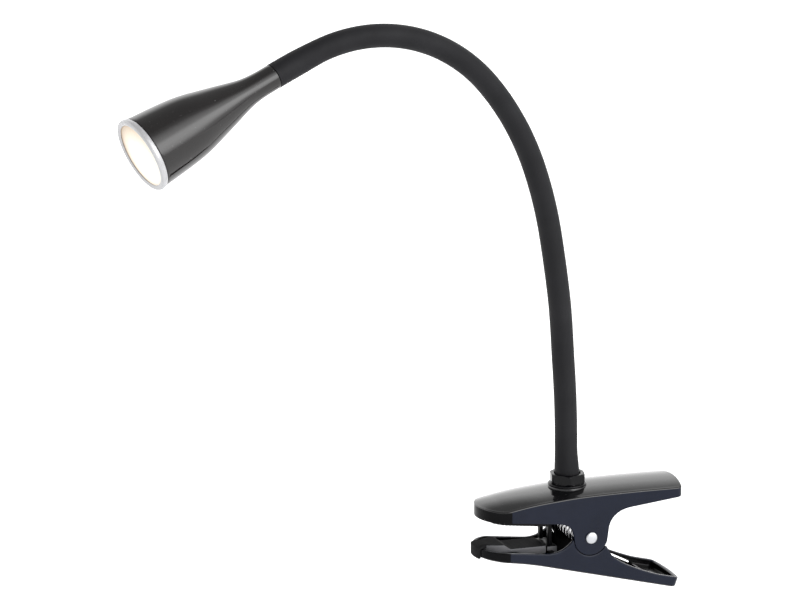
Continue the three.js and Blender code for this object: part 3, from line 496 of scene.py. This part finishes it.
def arm_skin(name, outline, surface, edge, sign, body_materials, lean=0.0):
    """A channel-shaped arm: sign is 1 where the broad surface is on top, -1 where it is below.

    surface(x, y) is the height of the broad face, edge(x) that of the walls' free edge, and lean
    how far the tail tilts out for each millimetre of height."""
    bm = bmesh.new()
    fillet = 0.8
    rim = 0.35
    steps = 5
    outside, inside = outline, inset(outline, WALL)
    top_out, top_in = inset(outline, fillet), inset(outline, WALL + 0.2)
    free = [edge(x) for x, w in outline]
    ring_free = free + free[::-1][1:-1]

    def place(x, y, z):
        share = min(max((x - outline[-1][0] + 12) / 8, 0), 1)
        return at(x + lean * share * (z - surface(x, y)), y, z)

    def ring(half, heights):
        return [place(x, y, z) for (x, y), z in zip(around(half), heights)]

    def closed_grid(rings, material):
        grid(bm, rings, closed=True, material=material)

    def step(depth, lift):
        return ring(inset(outside, depth) if depth else outside, [z + sign * lift for z in ring_free])

    crest = [surface(x, y) for x, y in around(top_out)]
    wall = []
    for k in range(9):
        t = k / 8
        low = [z + sign * rim for z in ring_free]
        high = [c - sign * fillet for c in crest]
        wall.append(ring(outside, [a + (b - a) * t for a, b in zip(low, high)]))
    arc = []
    for k in range(1, steps + 1):
        a = math.pi / 2 * k / steps
        heights = [c - sign * fillet * (1 - math.sin(a)) for c in crest]
        arc.append(ring(inset(outside, fillet * (1 - math.cos(a))), heights))
    closed_grid(wall, 1)
    closed_grid([wall[-1], *arc], 0)
    rim_rings = [step(0, rim), step(0.1, 0.1), step(rim, 0)]
    rim_rings += [step(WALL - rim, 0), step(WALL - 0.1, 0.1), step(WALL, rim)]
    closed_grid(rim_rings, 1)
    roof = [surface(x, y) - sign * (WALL + 0.2) for x, y in around(top_in)]
    inner = []
    for k in range(5):
        t = k / 4
        low = [z + sign * rim for z in ring_free]
        inner.append(ring(inside, [a + (b - sign * 0.4 - a) * t for a, b in zip(low, roof)]))
    inner.append(ring(top_in, roof))
    closed_grid(inner, 2)
    for half, drop, material in ((top_out, 0.0, 0), (top_in, WALL + 0.2, 2)):
        rows = []
        for x, w in half:
            row = []
            for k in range(25):
                y = -w + 2 * w * k / 24
                row.append(place(x, y, surface(x, y) - sign * drop))
            rows.append(row)
        grid(bm, rows, material=material)
    # Painted shade: the side faces on the nose take the darker nose black.
    nose_end = at(outline[0][0] + NOSE_LENGTH, 0, 0).x
    for f in bm.faces:
        if f.material_index == 1 and f.calc_center_median().x < nose_end:
            f.material_index = 3
    bmesh.ops.remove_doubles(bm, verts=bm.verts, dist=2e-6)
    bmesh.ops.dissolve_degenerate(bm, edges=bm.edges, dist=1e-7)
    return new_object(name, bm, body_materials)


RIDGE = [
    (-64, -14.5),
    (-59, -10.6),
    (-53, -6.9),
    (-46, -4.5),
    (-34, -2.7),
    (-18, -1.3),
    (0, 0),
    (20, 0.4),
    (40, 0.5),
    (70, 0.1),
    (90, -0.6),
]


def ease(t):
    t = min(max(t, 0), 1)
    return t * t * (3 - 2 * t)


def crown(x, y):
    """The upper arm's top: arched across, with a nose that droops more at its sides than its tip."""
    drop = CROWN_RADIUS - math.sqrt(CROWN_RADIUS**2 - y * y)
    tip = 1.1 * ease((-44 - x) / 14)
    sides = 1.0 * ease((-18 - x) / 32) * (y / HALF_WIDTH) ** 2
    return catmull(RIDGE, x) - drop + tip - sides


def ear_arc(radius, start, end, count):
    """Points on the pivot's circle between two angles in degrees, as (x, z)."""
    made = []
    for k in range(count + 1):
        a = math.radians(start + (end - start) * k / count)
        made.append((PIVOT.x + radius * math.cos(a), PIVOT.z + radius * math.sin(a)))
    return made


LEFT, RIGHT = PIVOT.x - EAR_RADIUS, PIVOT.x + EAR_RADIUS
UPPER_EDGE = [(-60, -14.8), (-42, -14.8)]
UPPER_EDGE += quadratic((-42, -14.8), (-26, -16.5), (-12, -18.2), 8)
UPPER_EDGE += quadratic((-12, -18.2), (LEFT, -19.4), (LEFT, PIVOT.z), 16)
UPPER_EDGE += ear_arc(EAR_RADIUS, 180, 360, 32)[1:]
UPPER_EDGE += quadratic((RIGHT, PIVOT.z), (RIGHT, -14), (32, -12), 18)
UPPER_EDGE += [(70, -7.9)]

LOWER_EDGE = [(-60, -32.2), (-44, -32.6)]
LOWER_EDGE += quadratic((-44, -32.6), (-30, -34.3), (-19, -35.5), 6)
LOWER_EDGE += quadratic((-19, -35.5), (-8.5, -36), (-2, -27), 14)[:12]
LOWER_EDGE += [p for p in ear_arc(EAR_RADIUS + 0.4, 184, 330, 34) if p[0] > LOWER_EDGE[-1][0]]
LOWER_EDGE += [(19.5, -37.5)]
LOWER_EDGE += quadratic((19.5, -37.5), (22.5, -45), (49, -54.2), 14)
LOWER_EDGE += [(70, -60.6)]

LOWER_BASE = [(-60, -37.2)]
LOWER_BASE += quadratic((-60, -37.2), (-40, -37.8), (-15.5, -44.4), 16)
LOWER_BASE += [(70, -65.95)]


def belly(x, y):
    return height_at(LOWER_BASE, x)


ARM_MATERIALS = [GLOSS, SIDE, INSIDE, NOSE_PAINTED_SHADE]
upper_outline = half_outline(UPPER_NOSE_X, UPPER_TAIL_X, UPPER_EDGE)
upper_skin = arm_skin(
    "upper_arm_shell", upper_outline, crown, lambda x: height_at(UPPER_EDGE, x), 1, ARM_MATERIALS
)
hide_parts("upper_arm")
lower_outline = half_outline(LOWER_NOSE_X, LOWER_TAIL_X, LOWER_EDGE)
lower_skin = arm_skin(
    "lower_arm_shell",
    lower_outline,
    belly,
    lambda x: height_at(LOWER_EDGE, x),
    -1,
    ARM_MATERIALS,
    LOWER_TAIL_LEAN,
)
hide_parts("lower_arm")

UPPER_PIECES = [upper_skin]
LOWER_PIECES = [lower_skin]
inner_half = HALF_WIDTH - WALL + 0.2
for side in (-1, 1):
    low, high = sorted((side * STOP_INNER, side * STOP_OUTER))
    foot = (STOP_X, low, STOP_FOOT)
    UPPER_PIECES.append(block(f"upper_stop_{side + 2}", foot, (STOP_X + 2, high, -4), [INNER]))
UPPER_PIECES.append(block("upper_handle_rib", (24, -0.8, -7), (64.4, 0.8, -1), [INNER]))
for k, x in enumerate((-48, -34, -22)):
    z = -11.2 - 0.12 * (x + 51)
    roof = crown(x, 12) - 1.6
    UPPER_PIECES.append(block(f"upper_pad_rib_{k + 1}", (x, -12, z), (x + 1.4, 12, roof), [INNER]))
UPPER_PIECES.append(
    turned(
        "upper_boss",
        rounded([(5.1, -3.6), (11.6, -3.6), (11.3, 0), (5.1, 0)], 0.3),
        at(0, 0, 0),
        (0, 0, 1),
        [GLOSS],
    )
)
for k, y in enumerate((-4.5, 7.5)):
    UPPER_PIECES.append(
        turned(
            f"upper_screw_post_{k + 1}",
            rounded([(1.5, -9.4), (2.6, -9.4), (2.8, -1.5), (1.5, -1.5)], 0.2),
            at(22, y, 0),
            (0, 0, 1),
            [INNER],
            32,
        )
    )

wall_foot = (STOP_X - 1.2, -inner_half, -43.5)
LOWER_PIECES.append(block("lower_cross_wall", wall_foot, (STOP_X + 2.6, inner_half, -36.4), [INNER]))
floor = height_at(LOWER_BASE, -23) + 1
LOWER_PIECES.append(block("lower_pad_rib", (-23, -13, floor), (-21.6, 13, -38.4), [INNER]))
for k, x in enumerate((34, 46)):
    floor = height_at(LOWER_BASE, x)
    LOWER_PIECES.append(
        block(f"lower_tail_rib_{k + 1}", (x, -17.6, floor + 1), (x + 1.4, 17.6, floor + 3.6), [INSIDE])
    )


def lug(side):
    """An inner ear of the lower arm with the hub that carries the coil."""
    bm = bmesh.new()
    radius = 9.2
    face = side * 17.0
    back = side * 14.4
    outline = ear_arc(radius, 0, 180, 28)
    outline += [(PIVOT.x - radius, -46.4), (PIVOT.x + radius, -50.6)]
    rows = []
    for y, shrink in ((face, 0.3), (face - side * 0.3, 0.0), (back + side * 0.3, 0.0), (back, 0.3)):
        row = []
        for x, z in outline:
            centre = Vector((PIVOT.x, PIVOT.z - 6))
            p = Vector((x, z))
            p += (centre - p).normalized() * shrink
            row.append(at(p.x, y, p.y))
        rows.append(row)
    grid(bm, rows, closed=True, cap=True)
    return new_object(f"lower_lug_{side + 2}", bm, [INNER])


for side in (-1, 1):
    LOWER_PIECES.append(lug(side))
    hub = rounded([(2.3, 9.4), (6.4, 9.4), (6.4, 14.6), (2.3, 14.6)], 0.5)
    LOWER_PIECES.append(
        turned(f"lower_hub_{side + 2}", hub, at(PIVOT.x, 0, PIVOT.z), (0, side, 0), [INNER], 48)
    )

# ------------------------------------------------------------------ pads


def paint_side_light(piece):
    """Paints the lower jaw's pad and platform paler on their sides: painted light, a pale copy of the
    pad rubber for the light those faces catch.
    """
    piece.data.materials.append(PAD_SIDE_PAINTED_LIGHT)
    for face in piece.data.polygons:
        if abs(face.normal.y) > 0.6 and face.center.z < at(0, 0, -27).z:
            face.material_index = 1
    return piece


def pad(name, nose_x, half_width, top, bottom, material):
    """A grip pad: its plan follows the nose; top(x) and bottom(x) are its two faces."""
    front = nose_x + NOSE_LENGTH
    reach = NOSE_LENGTH - WALL - 0.3
    half = []
    for k in range(23):
        a = math.pi / 2 * (1 - k / 22)
        half.append((front - reach * math.sin(a), half_width * math.cos(a)))
    end = STOP_X - 1.5
    count = 26
    half += [(front + (end - 1.2 - front) * k / count, half_width) for k in range(1, count + 1)]
    half += quadratic((end - 1.2, half_width), (end, half_width), (end, half_width - 1.2), 5)
    half += [(end, (half_width - 1.2) * (1 - k / 10)) for k in range(1, 11)]
    bm = bmesh.new()
    fillet = 0.8
    rows = []
    for face, sign in ((bottom, -1), (top, 1)):
        made = []
        for k in range(6):
            a = math.pi / 2 * k / 5
            ring = inset(half, fillet * (1 - math.cos(a)))
            made.append(
                [at(x, y, face(x) - sign * fillet * (1 - math.sin(a))) for x, y in around(ring)]
            )
        rows += made[::-1] if sign < 0 else made
    grid(bm, rows, closed=True)
    core = inset(half, fillet)
    for face in (bottom, top):
        sheet = []
        for x, w in core:
            line = [-w + 2 * w * k / 28 for k in range(29)]
            sheet.append([at(x, y, face(x)) for y in line])
        grid(bm, sheet)
    bmesh.ops.remove_doubles(bm, verts=bm.verts, dist=2e-6)
    bmesh.ops.dissolve_degenerate(bm, edges=bm.edges, dist=1e-7)
    return paint_side_light(new_object(name, bm, [material], 60))


def bell(value, low, high, soft):
    """1 between low and high, fading smoothly to 0 over soft on both sides."""
    return ease((value - low + soft) / soft) * ease((high + soft - value) / soft)


def ribbed(x):
    """Shallow grip ribs across the pads."""
    return 0.14 * math.cos(2 * math.pi * x / 2.2)


def slope_at(front, back, x):
    """Height at x of the straight line through two (x, z) points."""
    return front[1] + (back[1] - front[1]) / (back[0] - front[0]) * (x - front[0])


def upper_pad_under(x):
    face = slope_at(UPPER_PAD_FRONT, UPPER_PAD_BACK, x)
    return face + 2.2 * bell(x, -60, -54.5, 4.5) + 0.1 + ribbed(x) * bell(x, -46, -20, 2)


def upper_pad_over(x):
    return slope_at(UPPER_PAD_FRONT, UPPER_PAD_BACK, x) + PAD_DEPTH


def lower_pad_over(x):
    lip = 2.8 * bell(x, -54, -43.2, 5.2)
    face = slope_at(LOWER_PAD_FRONT, LOWER_PAD_BACK, x)
    return face + lip + ribbed(x) * bell(x, -35.5, -20, 2)


def lower_pad_under(x):
    """The lower pad's hidden face, which is deeper towards the back."""
    face = slope_at(LOWER_PAD_FRONT, LOWER_PAD_BACK, x)
    return face - LOWER_PAD_DEPTH - 2.6 * ease((x + 38) / 12)


upper_pad = pad(
    "upper_pad_skin", UPPER_NOSE_X, UPPER_PAD_HALF, upper_pad_over, upper_pad_under, PAD_RUBBER
)
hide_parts("upper_pad")
UPPER_PIECES.append(upper_pad)
lower_pad = pad(
    "lower_pad_skin", LOWER_NOSE_X, LOWER_PAD_HALF, lower_pad_over, lower_pad_under, PAD_RUBBER
)
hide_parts("lower_pad")
LOWER_PIECES.append(lower_pad)
rest_foot = (STOP_X - 1.2, -LOWER_PAD_HALF, -43.3)
rest_head = (STOP_X + 5.4, LOWER_PAD_HALF, STOP_REST_TOP)
rest = block("lower_stop_rest", rest_foot, rest_head, [INNER], 0.8)
# The platform's sides take the pad's painted light as well.
LOWER_PIECES.append(paint_side_light(rest))


def tongue():
    """The strip of the lower pad that hooks over the nose and down its front."""
    front = LOWER_NOSE_X + NOSE_LENGTH
    profile = [(0.2, -38.2), (1.0, -38.2), (1.1, -31.4), (-0.9, -30.3)]
    profile += [(-5.5, -30.1), (-5.5, -32), (0.2, -32)]
    profile = rounded(profile, 0.6, 4)
    bm = bmesh.new()
    rows = []
    count = 16
    for k in range(count + 1):
        y = -7 + 14 * k / count
        squeeze = 0.25 if k in (0, count) else 0.0
        a = math.asin(y / HALF_WIDTH)
        normal = Vector((-math.cos(a) * HALF_WIDTH, math.sin(a) * NOSE_LENGTH)).normalized()
        rim = Vector((front - NOSE_LENGTH * math.cos(a), y))
        row = []
        for out, z in profile:
            p = rim + normal * (out - squeeze)
            row.append(at(p.x, p.y, z - squeeze * (1 if z > -33 else -1)))
        rows.append(row)
    grid(bm, rows, closed=True, cap=True)
    return new_object("lower_pad_tongue", bm, [PAD_RUBBER], 50)


LOWER_PIECES.append(tongue())

# ------------------------------------------------------------------ pivot, spring

pin_at = at(PIVOT.x, 0, PIVOT.z)
head_y = HALF_WIDTH + 0.3
pin_profile = [(0, -21.9), (PIN_RADIUS, -21.9), (PIN_RADIUS, head_y)]
pin_profile += [(3.4, head_y), (PIN_HEAD_RADIUS, head_y + 0.35)]
for k in range(1, 8):
    a = math.pi / 2 * k / 7
    pin_profile.append((PIN_HEAD_RADIUS * math.cos(a) ** 0.7, head_y + 0.35 + 0.8 * math.sin(a)))
pin = turned("pivot_rivet", pin_profile, pin_at, (0, -1, 0), [ZINC], 64, 32)
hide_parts("pivot_pin")
cap = turned(
    "pin_push_cap",
    rounded([(2.15, head_y), (3.8, head_y), (3.5, head_y + 1), (2.15, head_y + 0.8)], 0.3),
    pin_at,
    (0, 1, 0),
    [ZINC],
    48,
)
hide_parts("pin_cap")
UPPER_PIECES += [pin, cap]


def tube_rings(centres, radius, sides):
    """Rings of points round a path of centres, each square to the path."""
    rings = []
    count = len(centres)
    side = Vector((0, 1, 0))
    for k, centre in enumerate(centres):
        ahead = centres[min(k + 1, count - 1)] - centres[max(k - 1, 0)]
        ahead.normalize()
        side = (side - ahead * side.dot(ahead)).normalized()
        other = ahead.cross(side)
        made = []
        for i in range(sides):
            a = 2 * math.pi * i / sides
            made.append(centre + (side * math.cos(a) + other * math.sin(a)) * radius)
        rings.append(made)
    return rings


def coil():
    """The torsion spring: two straight legs and an open coil on the hubs."""
    wound = 2 * math.pi * COIL_TURNS - UPPER_RISE - LOWER_RISE
    first = LOWER_RISE - math.pi / 2
    centres = []
    count = 460
    total = LOWER_LEG + COIL_RADIUS * wound + UPPER_LEG
    for k in range(count + 1):
        along = total * k / count - LOWER_LEG
        turn = min(max(along, 0), COIL_RADIUS * wound) / COIL_RADIUS
        straight = min(along, 0) + max(along - COIL_RADIUS * wound, 0)
        a = first + turn
        x = -COIL_RADIUS * math.cos(a) + straight * math.sin(a)
        z = COIL_RADIUS * math.sin(a) + straight * math.cos(a)
        y = COIL_PITCH * COIL_TURNS * (0.5 - turn / wound)
        centres.append(at(PIVOT.x + x, y, PIVOT.z + z))
    bm = bmesh.new()
    grid(bm, tube_rings(centres, WIRE_RADIUS * MM, 14), closed=True, cap=True)
    return new_object("torsion_coil", bm, [WIRE], 50)


spring = coil()
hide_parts("torsion_spring")

# ------------------------------------------------------------------ collar


def nut_radius(angle, point):
    """Radius of the nut's rounded hexagon at an angle, for one point of its profile."""
    radius = point[0]
    if len(point) < 3:
        return radius
    from_flat = (angle - NUT_SPIN + math.pi / 6) % (math.pi / 3) - math.pi / 6
    return min(radius, NUT_FLAT / math.cos(abs(from_flat) - math.pi / 6))


def nut_profile():
    """(radius, height) round the nut; points with a third value lie on the hexagon."""
    bore, low, top, outer = NUT_BORE, NUT_LOW, NUT_TOP, NUT_CORNER
    points = [(bore, low), (outer - 0.7, low), (outer - 0.2, low + 0.3, 1), (outer, low + 0.7, 1)]
    points += [(outer, low + 0.7 + (top - 1.9 - low) * k / 5, 1) for k in range(1, 6)]
    for k in range(1, 6):
        a = math.pi / 2 * k / 5
        points.append((outer - 1.3 + 1.3 * math.cos(a), top - 1.2 + 1.2 * math.sin(a), 1))
    points += [(bore + 0.6, top - 0.05), (bore + 0.1, top - 0.3), (bore, top - 0.8)]
    return points


nut = turned("collar_hex_nut", nut_profile(), at(0, 0, 0), (0, 0, 1), [COLLAR_PAINTED_SHADE], 144, 24, nut_radius)
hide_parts("collar_nut")
flange = turned(
    "collar_ring",
    rounded([(5.4, 0.05), (11.3, 0.05), (11.3, 1.0), (10.9, 1.4), (5.4, 1.4)], 0.35, 4),
    at(0, 0, 0),
    (0, 0, 1),
    [COLLAR_PAINTED_SHADE],
    96,
)
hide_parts("collar_flange")
UPPER_PIECES += [nut, flange]

# ------------------------------------------------------------------ gooseneck


def drift(s):
    """The sleeve leans a little over its first stretch, and comes back in the next."""
    return ease(s / 26) * (1 - ease((s - 72) / 42))


def neck_frame(distance):
    """Point on the gooseneck's centre line, and its direction, in the row frame."""
    x = z = angle = 0.0
    left = distance
    for length, degrees in NECK:
        run = min(left, length)
        turn = math.radians(degrees) * run / length
        chord = 2 * run * math.sin(turn / 2) / turn if abs(turn) > 1e-9 else run
        x -= chord * math.sin(angle + turn / 2)
        z += chord * math.cos(angle + turn / 2)
        angle += turn
        left -= run
        if left <= 0:
            break
    x -= drift(distance)
    ahead = Vector((0, 0, math.cos(angle))) - ARCH_WAY * math.sin(angle)
    return at(ARCH_WAY.x * x, ARCH_WAY.y * x, z), ahead


def sleeve_radius(s):
    """The sleeve swells where it enters the collar and where it meets the head."""
    foot = 0.75 * (1 - ease((s - 5) / 18))
    end = 0.5 * ease((s - (NECK_LENGTH - 34)) / 22)
    return SLEEVE + foot + end


def sleeve_piece(number, start, end):
    """One stretch of sleeve; neighbouring stretches share their end rings."""
    count = max(8, int((end - start) / 1.6))
    bm = bmesh.new()

    def ring(s, r, back=0.0):
        centre, ahead = neck_frame(s)
        other = ahead.cross(ARCH_SIDE)
        made = []
        for i in range(40):
            a = 2 * math.pi * i / 40
            out = ARCH_SIDE * math.cos(a) + other * math.sin(a)
            made.append(centre - ahead * back * MM + out * r * MM)
        return made

    stations = [start + (end - start) * k / count for k in range(count + 1)]
    rows = [ring(s, sleeve_radius(s)) for s in stations]
    if number == len(NECK_JOINTS):
        rows += [ring(end, 6.9, 0.05), ring(end, 5.4, 0.06)]
    grid(bm, rows, closed=True)
    return new_object(f"sleeve_{number}", bm, [NECK_RUBBER], 60)


CUTS = [2.4]
CUTS += [(a + b) / 2 for a, b in zip(NECK_JOINTS, NECK_JOINTS[1:])]
CUTS += [NECK_LENGTH + 0.05]
sleeves = []
for k, joint in enumerate(NECK_JOINTS):
    piece = sleeve_piece(k + 1, CUTS[k], CUTS[k + 1])
    nodes = [f"neck_sleeve_{k + 1}"] + (["neck_sleeve_6"] if k == 4 else [])
    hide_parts(*nodes)
    sleeves.append(piece)

# ------------------------------------------------------------------ head

seat, head_axis = neck_frame(NECK_LENGTH)
HEAD_STATIONS = [(0, 7.05), (9.4, 7.15), (18.7, 8.15), (24, 9.4), (32.3, 11.7)]
HEAD_STATIONS += [(42, 14.3), (53, 17.1), (67.5, 19.15), (85.5, 20.6)]
head_radius = spline(HEAD_STATIONS)
shell_profile = [(5.3, 0.25), (6.6, 0.25), (6.95, 0.45)]
shell_profile += [(head_radius(t), t) for t in [1 + 84 * k / 70 for k in range(71)]]
shell_profile += [(20.45, 85.45), (19.8, 85.5), (19.8, 81.5)]
shell_profile += [(head_radius(t) - 1.5, t) for t in [81 - 57 * k / 20 for k in range(21)]]
shell_profile += [(5.3, 24)]
HEAD_GLOSS = gloss_plastic("head_gloss_black", (0.0060, 0.0050, 0.0050), 0.05)
shell = turned("head_shade", shell_profile, seat, head_axis, [HEAD_GLOSS], 128, 50)
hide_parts("head_shell")
ring_profile = [(18.95, 82), (19.4, 82), (19.4, 85.75), (20.8, 85.75), (21.3, 87.6)]
ring_profile += [(21.0, RING_FRONT), (19.9, 89.5), (18.3, 88.9), (18.1, 88.6), (18.95, 88.5)]
ring = turned("front_bezel", rounded(ring_profile, 0.5, 4), seat, head_axis, [SILVER], 128, 60)
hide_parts("front_ring")
lens_centre = seat + head_axis * RING_FRONT * MM
lens_down = head_axis.cross(ARCH_SIDE)
lens_down *= -1 if lens_down.z > 0 else 1
bright_spot = lens_centre + (lens_down * 3 + Vector((0, -1, 0)) * 4.5) * MM
LENS = lit_opal("lit_opal", bright_spot, 22 * MM, 0.84)
lens_profile = []
for k in range(15):
    r = LENS_RADIUS * k / 14
    lens_profile.append((r, 90.2 - 1.7 * (r / LENS_RADIUS) ** 2))
lens_profile += [(17.8, 88.3), (18.5, 88.2), (18.6, 86.8), (17.2, 86.8)]
for k in range(8, -1, -1):
    r = 16.8 * k / 8
    lens_profile.append((r, 88.6 - 1.7 * (r / 17.4) ** 2))
lens = turned("opal_lens", lens_profile, seat, head_axis, [LENS], 96, 50)
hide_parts("diffuser")
HEAD_PIECES = [shell, ring, lens]

# ------------------------------------------------------------------ who moves with what

for piece in UPPER_PIECES:
    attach(piece, "clamp")
for piece in LOWER_PIECES:
    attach(piece, "lower_jaw")
for piece in HEAD_PIECES:
    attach(piece, "head")

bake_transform(spring)
for k, joint in enumerate(NECK_JOINTS):
    before, after = joint - CUTS[k], CUTS[k + 1] - joint
    reach = min(before, after, 35) - 3.2
    start = neck_frame(joint - reach)[0]
    end = neck_frame(joint + reach)[0]
    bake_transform(sleeves[k])

# ------------------------------------------------------------------ CAD nodes shown as they are

FINISH = {
    "gloss_black": GLOSS,
    "neck_rubber": NECK_RUBBER,
    "pad_rubber": PAD_RUBBER,
    "steel": STEEL,
    "zinc": ZINC,
    "spring_steel": WIRE,
    "satin_silver": SILVER,
    "opal": LENS,
    "white_plastic": WHITE,
    "aluminium": ALUMINIUM,
    "board_white": BOARD,
    "led_yellow": PHOSPHOR,
    "lead_black": LEAD,
}
SLOTS = {s["node"]: s["material_slot"] for s in frame["record"]["subparts"]}
for name, node in frame["nodes"].items():
    node.data.materials.clear()
    node.data.materials.append(FINISH[SLOTS[name]])
    if node.hide_render:
        continue
    soften = node.modifiers.new("soften", "BEVEL")
    soften.width = 0.00015
    soften.segments = 2
    soften.limit_method = "ANGLE"
    soften.angle_limit = math.radians(40)

# ------------------------------------------------------------------ stage, light and camera


def stage_floor():
    """A wide pale table top, a hand's breadth below the lamp."""
    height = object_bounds()[0].z - 0.1
    bm = bmesh.new()
    bmesh.ops.create_circle(bm, cap_ends=True, segments=96, radius=9.0)
    for v in bm.verts:
        v.co.z += height
    m = Nodes("studio_floor")
    tone = m.ramp(m.noise(3, 3), [(0.3, (0.86, 0.86, 0.86)), (0.7, (0.88, 0.88, 0.88))])
    m.link(tone, m.shader.inputs["Base Color"])
    m.shader.inputs["Roughness"].default_value = 0.9
    m.shader.inputs["Specular IOR Level"].default_value = 0.1
    m.shader.inputs["Emission Color"].default_value = (1, 1, 1, 1)
    m.shader.inputs["Emission Strength"].default_value = 0.45
    return new_object("studio_floor", bm, [m.material])


stage_floor()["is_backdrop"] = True

CAMERA_AZIMUTH = math.radians(19.1)
CAMERA_HEIGHT = math.radians(12.9)
CAMERA_DISTANCE = 2.0475
AIM_LEFT, AIM_UP = 0.0977, 0.1076
right = Vector((math.cos(CAMERA_AZIMUTH), -math.sin(CAMERA_AZIMUTH), 0))
back = Vector(
    (
        -math.sin(CAMERA_AZIMUTH) * math.cos(CAMERA_HEIGHT),
        -math.cos(CAMERA_AZIMUTH) * math.cos(CAMERA_HEIGHT),
        math.sin(CAMERA_HEIGHT),
    )
)
up = back.cross(right)
aim = FOOT - right * AIM_LEFT + up * AIM_UP
camera_data = bpy.data.cameras.new("camera")
camera_data.lens = 157.5
camera_data.sensor_width = 36
camera_data.clip_start = 0.05
camera_data.clip_end = 60
camera = bpy.data.objects.new("camera", camera_data)
camera.location = aim + back * CAMERA_DISTANCE
camera.rotation_mode = "QUATERNION"
camera.rotation_quaternion = (-back).to_track_quat("-Z", "Y")
bpy.context.collection.objects.link(camera)
bpy.context.scene.camera = camera


class Sky(Nodes):
    """The studio around the lamp; its place is the direction looked in."""

    def __init__(self, name):
        self.world = bpy.data.worlds.new(name)
        self.world.use_nodes = True
        self.tree = self.world.node_tree
        self.shader = self.tree.nodes["Background"]
        self.place = self.add("ShaderNodeTexCoord").outputs["Generated"]

    def maths(self, operation, a, b):
        node = self.add("ShaderNodeMath", operation=operation)
        for socket, value in zip(node.inputs, (a, b)):
            if isinstance(value, (int, float)):
                socket.default_value = value
            else:
                self.link(value, socket)
        return node.outputs["Value"]

    def along(self, direction):
        node = self.add("ShaderNodeVectorMath", operation="DOT_PRODUCT")
        self.link(self.place, node.inputs[0])
        node.inputs[1].default_value = direction
        return node.outputs["Value"]

    def halved(self, value, reach=1.0):
        """Takes -reach..reach to 0..1."""
        return self.maths("ADD", self.maths("MULTIPLY", value, 0.5 / reach), 0.5)


sky = Sky("studio")
bpy.context.scene.world = sky.world
height = sky.along((0, 0, 1))
REAR_STOPS = [(0.0, 0.33), (0.25, 0.33), (0.5, 0.38), (0.62, 0.3), (0.78, 0.12), (1.0, 0.10)]
FRONT_STOPS = [(0.0, 0.206), (0.14, 0.206), (0.2, 0.15), (0.5, 0.12), (1.0, 0.10)]
behind = sky.ramp(height, REAR_STOPS)
front = sky.ramp(height, FRONT_STOPS)
rear_share = sky.ramp(sky.halved(sky.along((0, 1, 0))), [(0.45, 0.0), (0.62, 1.0)])
room = sky.add("ShaderNodeMix", data_type="RGBA")
sky.link(rear_share, room.inputs["Factor"])
sky.link(front, room.inputs["A"])
sky.link(behind, room.inputs["B"])

# A long strip light runs beside the head, parallel to it, with a soft upper edge.
across = (back - head_axis * back.dot(head_axis)).normalized()
above = head_axis.cross(across)
above *= -1 if above.z < 0 else 1
turn = sky.maths("ARCTAN2", sky.along(above), sky.along(across))


def turned_by(degrees):
    """Place on the strip light's ramp of an angle round the head, 0 being towards the camera."""
    return 0.5 + degrees / 360


strip = sky.ramp(
    sky.halved(turn, math.pi),
    [
        (turned_by(-60), 0.0),
        (turned_by(-42), 0.2),
        (turned_by(-28), 0.8),
        (turned_by(-18), 1.0),
        (turned_by(-6), 1.0),
        (turned_by(4), 0.55),
        (turned_by(16), 0.35),
        (turned_by(28), 0.08),
        (turned_by(40), 0.0),
    ],
)
lengthwise = sky.ramp(
    sky.halved(sky.along(head_axis)), [(0.02, 0.0), (0.1, 1.0), (0.42, 1.0), (0.6, 0.0)]
)
lit = sky.add("ShaderNodeMix", data_type="RGBA", blend_type="MULTIPLY", Factor=1.0)
sky.link(strip, lit.inputs["A"])
sky.link(lengthwise, lit.inputs["B"])
both = sky.add("ShaderNodeMix", data_type="RGBA", blend_type="ADD", Factor=1.0)
sky.link(room.outputs["Result"], both.inputs["A"])
sky.link(lit.outputs["Result"], both.inputs["B"])
sky.link(both.outputs["Result"], sky.shader.inputs["Color"])
sky.shader.inputs["Strength"].default_value = 5.0

scene = bpy.context.scene
scene.view_settings.view_transform = "Standard"
scene.view_settings.look = "None"
scene.view_settings.exposure = 0.0
